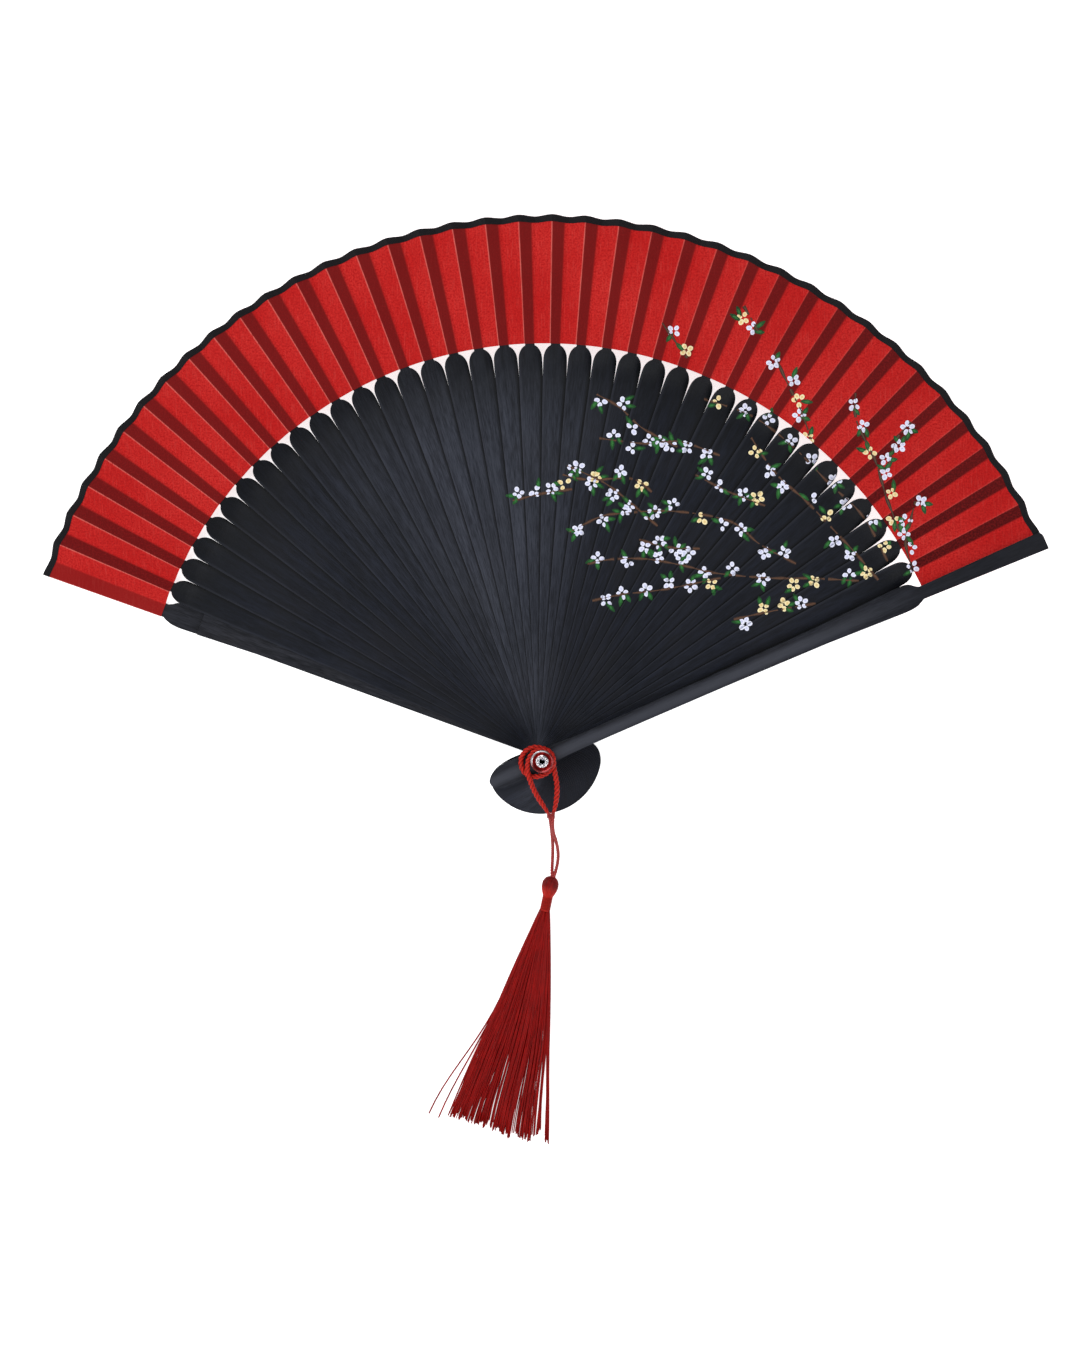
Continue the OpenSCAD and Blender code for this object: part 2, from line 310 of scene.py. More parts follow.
def grid_faces(rows, columns, is_ring=False):
    """Quads between rows of points; is_ring joins each row's last point to its first."""
    across = columns if is_ring else columns - 1
    return [
        (i * columns + j, i * columns + (j + 1) % columns,
         (i + 1) * columns + (j + 1) % columns, (i + 1) * columns + j)
        for i in range(rows - 1) for j in range(across)]


def smooth_path(points, step):
    """Points about step apart along a smooth curve through the given ones."""
    p = [Vector(q) for q in points]
    n = len(p) - 1
    fine = []
    for i in range(n):
        a, b, c, d = p[max(0, i - 1)], p[i], p[i + 1], p[min(n, i + 2)]
        for j in range(FINE_STEPS):
            t = j / FINE_STEPS
            fine.append((2 * b + (c - a) * t + (2 * a - 5 * b + 4 * c - d) * t * t
                         + (3 * b - a - 3 * c + d) * t * t * t) / 2)
    fine.append(p[n])
    gaps = [(b - a).length for a, b in zip(fine, fine[1:])]
    total = sum(gaps)
    wanted = max(2, round(total / step))
    result, done, i = [fine[0]], 0.0, 0
    for m in range(1, wanted):
        target = total * m / wanted
        while done + gaps[i] < target:
            done += gaps[i]
            i += 1
        result.append(fine[i].lerp(fine[i + 1], (target - done) / gaps[i]))
    return result + [fine[-1]]


def path_length(points):
    return sum((b - a).length for a, b in zip(points, points[1:]))


def sweep(path, sides, radius):
    """Points, faces and UVs of a closed tube. radius(length, angle) gives its radius."""
    n = len(path)
    points, uvs = [], []
    side = None
    length = 0.0
    for i, p in enumerate(path):
        ahead = (path[min(n - 1, i + 1)] - path[max(0, i - 1)]).normalized()
        if side is None:
            side = ahead.orthogonal()
        side = (side - ahead * side.dot(ahead)).normalized()
        up = ahead.cross(side)
        if i:
            length += (p - path[i - 1]).length
        for j in range(sides):
            angle = math.tau * j / sides
            r = radius(length, angle)
            points.append(p + (side * math.cos(angle) + up * math.sin(angle)) * r)
            uvs.append((j / sides, length))
    faces = grid_faces(n, sides, is_ring=True)
    faces.append(tuple(range(sides - 1, -1, -1)))
    faces.append(tuple((n - 1) * sides + j for j in range(sides)))
    return points, faces, uvs


def revolve(profile, segments, place, ridges=0, ridge_depth=0.0):
    """Points, faces and UVs of a turned shape. profile lists (along, radius), and place sets a
    point from (along, across, up). ridges are fine lengthwise threads on its surface."""
    points, uvs = [], []
    for along, radius in profile:
        for j in range(segments):
            angle = math.tau * j / segments
            dip = ridge_depth * abs(math.sin(ridges * angle / 2)) if ridges else 0.0
            r = max(0.01, radius - ridge_depth + dip) if ridges else radius
            points.append(place(along, r * math.cos(angle), r * math.sin(angle)))
            uvs.append((j / segments, along))
    return points, grid_faces(len(profile), segments, is_ring=True), uvs


# -------- materials
class Shader:
    """A material and short calls that add nodes to it. Most of them return a new node's output."""

    def __init__(self, name, **constants):
        self.material = bpy.data.materials.new(name)
        self.material.use_nodes = True
        self.tree = self.material.node_tree
        self.surface = self.tree.nodes["Principled BSDF"]
        for key, value in constants.items():
            self.surface.inputs[key.replace("_", " ")].default_value = value

    def add(self, kind, output, inputs=None, **settings):
        node = self.tree.nodes.new("ShaderNode" + kind)
        for key, value in settings.items():
            setattr(node, key, value)
        for key, value in (inputs or {}).items():
            self.put(node.inputs[key], value)
        return node.outputs[output]

    def put(self, socket, value):
        if isinstance(value, bpy.types.NodeSocket):
            self.tree.links.new(value, socket)
        else:
            socket.default_value = value

    def set(self, key, value):
        self.put(self.surface.inputs[key], value)

    def uv(self, layer):
        return self.add("UVMap", "UV", uv_map=layer)

    def place(self):
        return self.add("TexCoord", "Object")

    def scaled(self, vector, scale, turn=0.0):
        return self.add("Mapping", "Vector", {
            "Vector": vector, "Scale": scale, "Rotation": (0.0, 0.0, math.radians(turn))})

    def flat(self, x, y):
        return self.add("CombineXYZ", "Vector", {"X": x, "Y": y})

    def parts(self, vector):
        node = self.tree.nodes.new("ShaderNodeSeparateXYZ")
        self.put(node.inputs[0], vector)
        return node.outputs[0], node.outputs[1], node.outputs[2]

    def noise(self, vector, scale, detail=3.0, roughness=0.55):
        return self.add("TexNoise", "Fac", {
            "Vector": vector, "Scale": scale, "Detail": detail, "Roughness": roughness})

    def waves(self, vector, scale, direction, distortion=0.0):
        return self.add("TexWave", "Fac", {
            "Vector": vector, "Scale": scale, "Distortion": distortion, "Detail": 1.0},
            wave_type="BANDS", bands_direction=direction)

    def math(self, operation, a, b=0.0):
        node = self.tree.nodes.new("ShaderNodeMath")
        node.operation = operation
        self.put(node.inputs[0], a)
        self.put(node.inputs[1], b)
        return node.outputs[0]

    def times(self, a, b):
        return self.math("MULTIPLY", a, b)

    def plus(self, a, b):
        return self.math("ADD", a, b)

    def minus(self, a, b):
        return self.math("SUBTRACT", a, b)

    def ramp(self, value, low, high, out_low=0.0, out_high=1.0):
        return self.add("MapRange", "Result", {
            "Value": value, "From Min": low, "From Max": high,
            "To Min": out_low, "To Max": out_high}, interpolation_type="SMOOTHSTEP")

    def blend(self, factor, a, b):
        """Mixes two colours, each an output or a (red, green, blue) screen colour."""
        node = self.tree.nodes.new("ShaderNodeMix")
        node.data_type = "RGBA"
        self.put(node.inputs[0], factor)
        for socket, tint in ((6, a), (7, b)):
            self.put(node.inputs[socket], colour(*tint) if isinstance(tint, tuple) else tint)
        return node.outputs[2]

    def finished(self, tint, roughness, height, depth, strength):
        """The material, with its bump up to depth millimetres deep."""
        self.set("Base Color", tint)
        self.set("Roughness", roughness)
        self.set("Normal", self.add("Bump", "Normal", {
            "Height": height, "Distance": depth * MM, "Strength": strength}))
        return self.material


def colour(red, green, blue):
    """A screen colour, 0 to 255, as Blender's linear one."""
    def linear(c):
        c /= 255
        return c / 12.92 if c <= 0.04045 else ((c + 0.055) / 1.055) ** 2.4
    return linear(red), linear(green), linear(blue), 1.0


def lacquer(name, dark=(8, 10, 16), light=(23, 27, 39), smudge=(21, 20, 22), crown=0.0,
            is_stick=False):
    """Black stained and lacquered bamboo, its grain along UV layer "blade": millimetres (across, out
    from the pivot). crown is how strongly a painted highlight shows along a guard's middle; it fades
    where the leaf begins, and the guard turns darker towards its outer end. A stick has painted shadow
    along the line where the next one covers it, a painted highlight along its open edge and a painted
    sheen in the middle of the fan, and is darker towards its tip."""
    s = Shader(name, Specular_IOR_Level=0.17)
    blade = s.uv("blade")
    across, along, _ = s.parts(blade)
    own = s.add("ObjectInfo", "Random")
    shifted = s.add("VectorMath", "Vector", {0: blade, 1: s.flat(
        s.times(own, 90.0), s.times(own, 700.0))}, operation="ADD")
    fibres = s.noise(s.scaled(shifted, (3.4, 0.2, 1.0)), 1.0, detail=4.0, roughness=0.62)
    bands = s.noise(s.scaled(shifted, (0.6, 0.03, 1.0)), 1.0, detail=2.0)
    smudges = s.noise(s.place(), 45.0, detail=3.0)
    tone = s.plus(s.times(fibres, 0.62), s.times(bands, 0.38))
    shade = s.blend(s.ramp(tone, 0.34, 0.68), dark, light)
    shade = s.blend(s.ramp(smudges, 0.45, 0.75, 0.0, 0.3), shade, smudge)
    # Painted highlight along the middle of a guard, fading towards its outer end, where the guard turns darker
    if crown:
        middle = s.ramp(s.math("ABSOLUTE", across), 0.4, 3.0, crown, 0.0)
        shown = s.times(middle, s.ramp(along, 90.0, 150.0, 1.0, 0.1))
        shade = s.blend(shown, shade, (66, 68, 76))
        shade = s.blend(s.ramp(along, 120.0, 160.0, 0.0, 0.6), shade, dark)
    if is_stick:
        # Painted sheen: a paler band, following the grain, on the sticks that point up the middle of the fan
        x, y, _ = s.parts(s.place())
        outward = s.add("VectorMath", "Vector", {0: s.flat(x, y)}, operation="NORMALIZE")
        nx, _, _ = s.parts(outward)
        middle_sheen = s.ramp(s.math("ABSOLUTE", s.plus(nx, 0.22)), 0.05, 0.55, 1.0, 0.0)
        middle_sheen = s.times(middle_sheen, s.ramp(along, 15.0, 90.0, 0.75, 0.95))
        middle_sheen = s.times(middle_sheen, s.ramp(tone, 0.36, 0.66, 0.25, 1.0))
        shade = s.blend(middle_sheen, shade, (60, 63, 73))
        shade = s.blend(s.ramp(own, 0.0, 1.0, 0.0, 0.3), shade, dark)
        shade = s.blend(s.ramp(along, 112.0, 142.0, 0.0, 0.65), shade, (5, 6, 9))
        half_w = s.plus(s.times(along, BLADE_SLOPE), BLADE_HALF_W)
        shown_w = s.times(along, math.tan(math.radians(PITCH)))
        share = s.math("DIVIDE", s.minus(half_w, across), shown_w)
        # Painted highlight along the stick's open edge, the one the next stick doesn't cover
        shade = s.blend(s.ramp(share, 0.03, 0.14, 0.22, 0.0), shade, (58, 60, 69))
        # Painted shadow along the line where the next stick's edge covers this one
        shade = s.blend(s.ramp(share, 0.78, 0.99, 0.0, 0.9), shade, (3, 4, 6))
    wear = s.plus(s.times(smudges, 0.5), s.times(fibres, 0.5))
    return s.finished(shade, s.ramp(wear, 0.25, 0.75, 0.38, 0.6), tone, 0.05, 0.7)


def edge_sheen(name):
    """The rounded edge of a guard, lighter in mottled patches: a painted sheen along the edge."""
    s = Shader(name, Specular_IOR_Level=0.3)
    edge_mottle = s.noise(s.place(), 160.0, detail=5.0, roughness=0.65)
    shade = s.blend(s.ramp(edge_mottle, 0.4, 0.72), (14, 15, 20), (46, 45, 49))
    return s.finished(shade, s.ramp(edge_mottle, 0.3, 0.7, 0.26, 0.44), edge_mottle, 0.03, 0.4)


def leaf_cloth(name, stripe, shown=0.82):
    """Dyed cotton cloth glued to the ribs. UV layer "pleat" runs 0 to 1 over the panel glued to a
    rib and 1 to 2 over the free one; "cloth" is a place on the open leaf in millimetres. stripe gives
    where the dark rib starts and stops showing through, and shown how strongly; painted shade makes
    the stripe stronger towards the front guard. A painted highlight runs along the mountain folds."""
    s = Shader(name, Specular_IOR_Level=0.07)
    across, _, _ = s.parts(s.uv("pleat"))
    cloth = s.uv("cloth")
    cloth_x, cloth_y, _ = s.parts(cloth)
    warp = s.waves(cloth, 0.62, "X", distortion=0.5)
    weft = s.waves(cloth, 0.62, "Y", distortion=0.5)
    weave = s.times(s.plus(warp, weft), 0.5)
    speckle = s.noise(cloth, 1.5, detail=3.0, roughness=0.7)
    slubs = s.noise(s.scaled(cloth, (2.2, 0.16, 1.0)), 1.0, detail=2.0)
    drift = s.noise(cloth, 0.035, detail=2.0)
    red = s.blend(s.ramp(drift, 0.3, 0.7), (182, 29, 27), (196, 44, 40))
    red = s.blend(s.ramp(speckle, 0.35, 0.7), red, (158, 20, 22))
    red = s.blend(s.times(s.ramp(slubs, 0.5, 0.75), 0.3), red, (200, 70, 64))
    under = s.blend(s.ramp(speckle, 0.42, 0.66), (62, 9, 11), (104, 22, 22))
    under = s.blend(s.ramp(cloth_y, 60.0, 130.0, 0.0, 0.35), under, (118, 27, 27))
    s0, s1, s2, s3 = stripe
    # The dark stripe is the rib seen through the cloth, with painted shade that grows stronger towards the front guard
    through = s.times(s.ramp(across, s0, s1), s.ramp(across, s2, s3, 1.0, 0.0))
    through = s.times(through, s.ramp(cloth_x, 30.0, 130.0, shown, min(1.0, shown + 0.16)))
    red = s.blend(through, red, under)
    # Painted highlight along the mountain folds, fading towards the front guard
    from_fold = s.math("MINIMUM", across, s.math("ABSOLUTE", s.minus(2.0, across)))
    fold_highlight = s.times(s.ramp(from_fold, 0.008, 0.06, 1.0, 0.0), s.ramp(slubs, 0.25, 0.6, 0.25, 0.8))
    fold_highlight = s.times(fold_highlight, s.ramp(cloth_x, 10.0, 90.0, 1.0, 0.25))
    height = s.plus(s.times(weave, 0.6), s.times(speckle, 0.5))
    return s.finished(s.blend(fold_highlight, red, (204, 100, 92)),
                      s.ramp(speckle, 0.2, 0.8, 0.72, 0.9), height, 0.07, 0.7)


def tape_cloth(name):
    """Black bias tape folded over the leaf's edge."""
    s = Shader(name, Specular_IOR_Level=0.15, Sheen_Weight=0.06, Sheen_Roughness=0.4)
    cloth = s.scaled(s.uv("cloth"), (1.0, 1.0, 1.0), turn=45.0)
    weave = s.times(s.waves(cloth, 0.7, "X"), s.waves(cloth, 0.7, "Y"))
    dust = s.noise(cloth, 0.9, detail=4.0)
    shade = s.blend(s.ramp(s.plus(weave, dust), 0.4, 1.3), (8, 8, 10), (30, 29, 33))
    return s.finished(shade, s.ramp(dust, 0.3, 0.7, 0.6, 0.82), weave, 0.08, 0.8)


def twisted_thread(name, dark, light, across=1.0, along=3.0, gloss=0.45, lay=None, lit_end=None):
    """Silk or cotton thread. UV layer "tube" is (share of the way round, millimetres along). lay is
    a cord's number of strands and the length of one turn; the grooves between strands get painted
    shade. lit_end is where along the piece a painted highlight brightens it, and that brighter colour."""
    s = Shader(name, Specular_IOR_Level=0.13)
    tube = s.uv("tube")
    slanted = s.scaled(tube, (14.0 * across, along, 1.0), turn=18.0)
    fibres = s.noise(slanted, 1.0, detail=4.0, roughness=0.6)
    drift = s.noise(s.scaled(tube, (0.7, 0.25, 1.0)), 1.0, detail=2.0)
    shade = s.blend(s.ramp(fibres, 0.3, 0.7), dark, light)
    if lay:
        count, turn_length = lay
        u, v, _ = s.parts(tube)
        turned = s.minus(u, s.math("DIVIDE", v, turn_length))
        # Painted shade in the grooves between the strands
        ridge = s.math("COSINE", s.times(turned, math.tau * count))
        groove_shade = s.ramp(ridge, -0.95, 0.1, 0.6, 0.0)
        shade = s.blend(groove_shade, shade, tuple(c * 0.5 for c in dark))
    shade = s.blend(s.ramp(drift, 0.4, 0.75, 0.0, 0.35), shade, dark)
    # Painted highlight over part of the piece's length
    if lit_end:
        begins, ends, bright = lit_end
        _, v, _ = s.parts(tube)
        shown = s.times(s.ramp(v, begins, ends), s.ramp(fibres, 0.3, 0.6, 0.35, 0.9))
        shade = s.blend(shown, shade, bright)
    return s.finished(shade, s.ramp(fibres, 0.3, 0.7, gloss, gloss + 0.2), fibres, 0.06, 0.6)


def bright_metal(name, tint=(182, 180, 184), rough=0.16, worn=(120, 112, 114), spread=0.22,
                 has_cord_reflection=False):
    """Nickel-plated brass with fine turned rings and some handling marks. has_cord_reflection adds a painted
    reflection of the red cord on the lower part of the rivet's rim."""
    s = Shader(name, Metallic=1.0)
    x, y, _ = s.parts(s.place())
    radius = s.add("VectorMath", "Value", {0: s.flat(x, y)}, operation="LENGTH")
    rings = s.noise(s.flat(s.times(radius, 9000.0), 0.0), 1.0)
    marks = s.noise(s.place(), 900.0, detail=4.0, roughness=0.7)
    shade = s.blend(s.ramp(marks, 0.45, 0.75), tint, worn)
    # Painted reflection of the red cord on the lower part of the rim
    if has_cord_reflection:
        low = s.minus(y, s.times(x, 0.7))
        low = s.plus(low, s.times(s.minus(marks, 0.5), 0.002))
        cord_reflection = s.times(s.ramp(low, 0.0, 0.003, 0.9, 0.0), s.ramp(radius, 0.0027, 0.0032))
        shade = s.blend(cord_reflection, shade, (140, 26, 24))
    return s.finished(shade, s.ramp(marks, 0.3, 0.75, rough, rough + spread),
                      s.plus(rings, s.times(marks, 0.4)), 0.012, 0.5)


def brush_paint(name, rim, middle, rough=0.42):
    """Thick hand-laid paint. UV layer "dab" is (0 at a dab's middle to 1 at its rim, its own
    random number)."""
    s = Shader(name, Specular_IOR_Level=0.2)
    from_middle, own, _ = s.parts(s.uv("dab"))
    streaks = s.noise(s.place(), 2600.0, detail=3.0)
    load = s.plus(from_middle, s.times(s.minus(streaks, 0.5), 0.8))
    tint = s.blend(s.ramp(load, 0.15, 0.75), middle, rim)
    return s.finished(s.blend(s.times(own, 0.3), tint, middle),
                      s.ramp(streaks, 0.3, 0.7, rough, rough + 0.2), streaks, 0.05, 0.5)


CLOTH = leaf_cloth("red_leaf_cloth", (0.012, 0.04, 0.68, 0.84))
CLOTH_ON_GUARD = leaf_cloth("red_leaf_cloth_on_guard", (-0.2, -0.1, 0.82, 0.97), shown=0.55)
TAPE = tape_cloth("black_edge_tape")
STICK_LACQUER = lacquer("black_lacquered_sticks", is_stick=True)
REAR_LACQUER = lacquer("black_lacquered_rear_guard", light=(40, 41, 48), smudge=(38, 36, 37))
FRONT_LACQUER = lacquer("black_lacquered_front_guard", dark=(13, 14, 20), light=(36, 38, 46),
                        smudge=(30, 29, 32), crown=0.6)
GUARD_EDGE = edge_sheen("guard_edge_with_painted_sheen")
CORD_LAY = (3, 5.0)
STRING_LAY = (3, 3.4)
CORD_RED = twisted_thread("red_twisted_cord", (150, 18, 12), (206, 46, 32), lay=CORD_LAY)
STRING_RED = twisted_thread("red_fine_string", (118, 24, 24), (196, 80, 76), lay=STRING_LAY)
SKIRT_RED = twisted_thread("dark_red_silk_threads", (76, 0, 0), (166, 12, 7), along=0.12,
                           gloss=0.38)
KNOB_RED = twisted_thread("dark_red_silk_knob", (72, 1, 1), (132, 8, 7), across=6.0, along=0.3,
                          gloss=0.3, lit_end=(2.6, 6.4, (190, 34, 22)))
WRAP_RED = twisted_thread("bright_red_wrap", (104, 8, 6), (190, 38, 26))
NICKEL = bright_metal("nickel_rivet", has_cord_reflection=True)
# The rivet's dish is tinted red: a painted reflection of the red cord
RED_REFLECTING_NICKEL = bright_metal("nickel_with_painted_cord_reflection", tint=(112, 18, 18), rough=0.28,
                              worn=(60, 10, 12))
BORE_METAL = bright_metal("bright_rivet_bore", tint=(238, 238, 242), rough=0.04,
                          worn=(214, 214, 220), spread=0.04)
WASHER_METAL = bright_metal("nickel_washer", tint=(160, 158, 158), rough=0.3)
PETAL_WHITE = brush_paint("petal_white_paint", (228, 229, 244), (196, 199, 228))
PETAL_CREAM = brush_paint("petal_cream_paint", (238, 224, 178), (220, 190, 128))
LEAF_GREEN = brush_paint("green_leaf_paint", (14, 56, 24), (44, 108, 48))
TWIG_BROWN = brush_paint("brown_twig_paint", (44, 33, 28), (88, 60, 44), rough=0.5)


# -------- hanging cord
STRAND_SHARE = 0.56
CORD_SIDES = 21
CORD_STEP = 0.3
STRING_R = STRING_D * 0.62


def strands(radius, count, turn_length):
    """Radius of a cord laid up from round strands, as a function for sweep."""
    strand_r = STRAND_SHARE * radius
    strand_at = radius - strand_r

    def at(length, angle):
        turned = angle - math.tau * length / turn_length
        off = (turned + math.pi / count) % (math.tau / count) - math.pi / count
        sideways = strand_at * math.sin(off)
        return strand_at * math.cos(off) + math.sqrt(strand_r ** 2 - sideways ** 2)

    return at


def cord_piece(name, path, radius, material, slot):
    points, faces, uvs = sweep(path, CORD_SIDES, radius)
    piece = new_piece(name, points, faces, [material], {"tube": uvs})
    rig.slot(piece, slot)
    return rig.ride(piece, "tassel")


# Up the right leg, round the rivet as a ring that hangs to one side, round once more on top of it,
# and down the left leg. Each place is (x, y, lift over the front guard's own layer of cord).
LOOP_ROUTE = [
    (3.6, -19.7, 0.0), (4.3, -17.2, 0.0), (4.75, -15.1, 0.0), (5.15, -11.6, 0.0), (5.05, -8.0, 0.0),
    (4.4, -4.4, 0.0), (3.95, -1.9, 0.0), (3.9, 0.1, 0.0), (3.35, 2.05, 0.0), (2.05, 3.4, 0.0),
    (0.1, 4.2, 0.0), (-2.1, 4.6, 0.0), (-4.3, 4.2, 0.0), (-6.1, 3.0, 0.0), (-7.25, 1.1, 0.0),
    (-7.5, -1.1, 0.0), (-6.85, -3.3, 0.0), (-5.4, -5.0, 0.0), (-3.6, -5.75, 0.0), (-1.6, -5.65, 0.0),
    (0.0, -5.2, 0.1), (1.5, -4.4, 0.4), (2.75, -3.2, 1.1), (3.6, -1.6, 1.75), (3.9, 0.2, 1.9),
    (3.3, 2.1, 1.9), (1.5, 3.65, 1.9), (-0.6, 4.0, 1.9), (-2.6, 3.3, 1.9), (-4.1, 1.7, 1.85),
    (-4.9, -0.4, 1.8), (-5.15, -2.6, 1.85), (-4.9, -4.7, 1.9), (-4.2, -7.0, 1.5), (-3.2, -9.8, 0.5),
    (-1.75, -12.7, 0.05), (0.2, -15.7, 0.0), (1.6, -17.9, 0.0), (2.5, -19.7, 0.0)]
LEG_TAPER = 7.0


def tapered(radius, total, end_share):
    """The same cord, thinning towards both of its ends."""
    def at(length, angle):
        from_end = min(length, total - length)
        return radius(length, angle) * mix(end_share, 1.0, smooth(from_end / LEG_TAPER))

    return at


loop_line = smooth_path([(x, y, CORD_Z + lift) for x, y, lift in LOOP_ROUTE], CORD_STEP)
loop_cord = cord_piece("loop_cord", loop_line, tapered(
    strands(CORD_D / 2, *CORD_LAY), path_length(loop_line), 0.6), CORD_RED, "loop_cord")
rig.replaces(loop_cord, "loop_ring", "loop_left_leg", "loop_right_leg")

STRING_ROUTES = {
    "left": [(2.5, -19.0, 25.6), (2.55, -19.9, 25.5), (2.72, -21.0, 25.0), (2.9, -22.6, 23.7),
             (3.06, -24.6, 21.7), (3.25, -28.5, 16.8), (3.25, -32.5, 11.6), (3.07, -36.8, 7.2),
             (2.84, -40.8, 4.3), (2.8, -43.2, 3.5), (2.8, -45.2, 3.2)],
    "right": [(3.65, -19.0, 25.6), (3.7, -19.9, 25.6), (3.68, -21.0, 25.4), (3.62, -22.4, 24.7),
              (3.62, -24.4, 22.9), (3.85, -26.8, 20.0), (4.36, -29.0, 16.9), (4.91, -32.5, 12.2),
              (5.1, -36.0, 8.2), (4.75, -39.5, 5.3), (4.1, -42.4, 3.9), (3.6, -44.0, 3.5),
              (3.3, -45.2, 3.2)]}
string_lines = [smooth_path(route, CORD_STEP) for route in STRING_ROUTES.values()]
string_pieces = []
for side, line in zip(STRING_ROUTES, string_lines):
    piece = cord_piece(f"tassel_string_{side}", line, strands(STRING_R, *STRING_LAY),
                       STRING_RED, "string_cord")
    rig.replaces(piece, f"string_{side}")
    string_pieces.append(piece)

# A few turns of thread bind the legs where the strings begin.
WHIP_START = Vector((3.05, -18.25, CORD_Z))
WHIP_TURNS = 5
WHIP_STEP = 0.42
whip_angles = [math.tau * i / 12 for i in range(12 * WHIP_TURNS + 1)]
whip_line = smooth_path([
    WHIP_START + Vector((1.3 * math.cos(a), -WHIP_STEP * a / math.tau, 0.8 * math.sin(a)))
    for a in whip_angles], 0.2)
whipping = cord_piece("loop_whipping", whip_line, strands(0.21, 2, 1.3), STRING_RED, "loop_cord")


# -------- tassel
LEAN = 11.7
KNOB_AT = Vector((2.8, -44.5, 0.0))
KNOB_Z = 3.0
WRAP_Z = 2.3
SKIRT_START = 12.5
SKIRT_LEN = 85.0
SKIRT_W = 37.0
TASSEL_DIR = polar(-90 - LEAN, 1.0)
TASSEL_SIDE = polar(-LEAN, 1.0)


def on_tassel(along, across, z):
    return KNOB_AT + TASSEL_DIR * along + TASSEL_SIDE * across + Vector((0, 0, z))


# Silk threads laid lengthwise over a round core, drawn in at the neck
KNOB_PROFILE = [
    (0.02, 0.1), (0.1, 0.8), (0.35, 1.5), (0.8, 2.1), (1.5, 2.6), (2.4, 2.92), (3.4, 3.0),
    (4.4, 2.92), (5.3, 2.68), (6.2, 2.35), (7.0, 2.0), (7.6, 1.75), (9.0, 1.55), (12.9, 1.6)]


def knob_place(along, across, up):
    """The knob lies on its belly, and its neck bends down into the wrap."""
    return on_tassel(along, across, mix(KNOB_Z, WRAP_Z, smooth((along - 3.6) / 5)) + up)


points, faces, uvs = revolve(KNOB_PROFILE, 168, knob_place, ridges=42, ridge_depth=0.14)
tassel_knob = new_piece("silk_knob", points, faces, [KNOB_RED], {"tube": uvs})
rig.slot(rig.ride(tassel_knob, "tassel"), "tassel_thread")
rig.replaces(tassel_knob, "tassel_knob")

WRAP_TURNS = 13
WRAP_R = 1.66
WRAP_FROM, WRAP_TO = 7.3, 12.5
wrap_line = smooth_path([
    on_tassel(mix(WRAP_FROM, WRAP_TO, i / (14 * WRAP_TURNS)), WRAP_R * math.cos(math.tau * i / 14),
              WRAP_Z + WRAP_R * math.sin(math.tau * i / 14))
    for i in range(14 * WRAP_TURNS + 1)], CORD_STEP)
tassel_wrap = cord_piece("neck_wrap", wrap_line, strands(0.23, 2, 1.6), WRAP_RED, "wrap_thread")
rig.replaces(tassel_wrap, "tassel_wrap")

# Bundles of the skirt's threads: where each begins and ends across the width, from -1 at the left
# to 1 at the right, its number of threads and how far its ends reach past the shortest
BUNDLES = [
    (-1.0, -0.62, 72, 0.0), (-0.61, -0.22, 70, 0.8), (-0.19, 0.06, 48, 1.4), (0.08, 0.26, 36, 2.6),
    (0.34, 0.62, 52, 2.4), (0.69, 0.79, 17, 1.0), (0.93, 1.0, 15, 1.8)]
THREAD_R = 0.22
THREAD_SIDES = 6
THREAD_STEPS = 16
STRAY_R = 0.3
HIDDEN_LEN = 1.2
TABLE_GAP = 0.3


def skirt_half_w(share):
    return mix(1.3, SKIRT_W / 2, share ** 0.92)


def thread_path(even, gathered, length, height, waves):
    """One thread of the skirt, from under the wrap to its end on the table. even and gathered are
    where it starts and ends across the width, and height is its place in the neck, -1 to 1."""
    path = []
    for i in range(THREAD_STEPS + 1):
        share = i / THREAD_STEPS
        across = skirt_half_w(share) * mix(even, gathered, smooth((share - 0.4) / 0.55))
        sway = waves[0] * share * math.sin(waves[1] + 5.5 * share) + waves[2] * share ** 3
        low = TABLE_GAP + THREAD_R
        start_z = WRAP_Z + 1.15 * height
        end_z = low + 1.5 * (height + 1) / 2
        z = max(low, mix(start_z, end_z, smooth(share / 0.6)))
        along = SKIRT_START - HIDDEN_LEN + (length + HIDDEN_LEN) * share
        path.append(on_tassel(along, across + sway, z))
    return path


def skirt_threads():
    """The (path, radius) of each thread, and of two stray ones at the left."""
    total = sum(count for _, _, count, _ in BUNDLES)
    number = 0
    for low, high, count, reach in BUNDLES:
        for i in range(count):
            even = -1 + 2 * (number + 0.5) / total
            gathered = mix(low, high, (i + rng.uniform(0.1, 0.9)) / count)
            height = rng.uniform(-1, 1) * math.sqrt(max(0.05, 1 - even * even))
            clump = 1.1 * math.sin(number * 0.21) + 0.8 * math.sin(number * 0.55 + 1.3)
            length = SKIRT_LEN - 4.6 + reach + clump + rng.uniform(-0.7, 0.3)
            waves = (rng.uniform(-0.7, 0.7), rng.uniform(0, 6.3), rng.gauss(0, 0.35))
            path = thread_path(even, gathered, length, height, waves)
            yield path, THREAD_R * rng.uniform(0.8, 1.1)
            number += 1
    for across, length in ((-1.4, 82.0), (-1.2, 82.8)):
        yield thread_path(-0.98, across, length, -0.7, (0.3, 1.0, 0.0)), STRAY_R


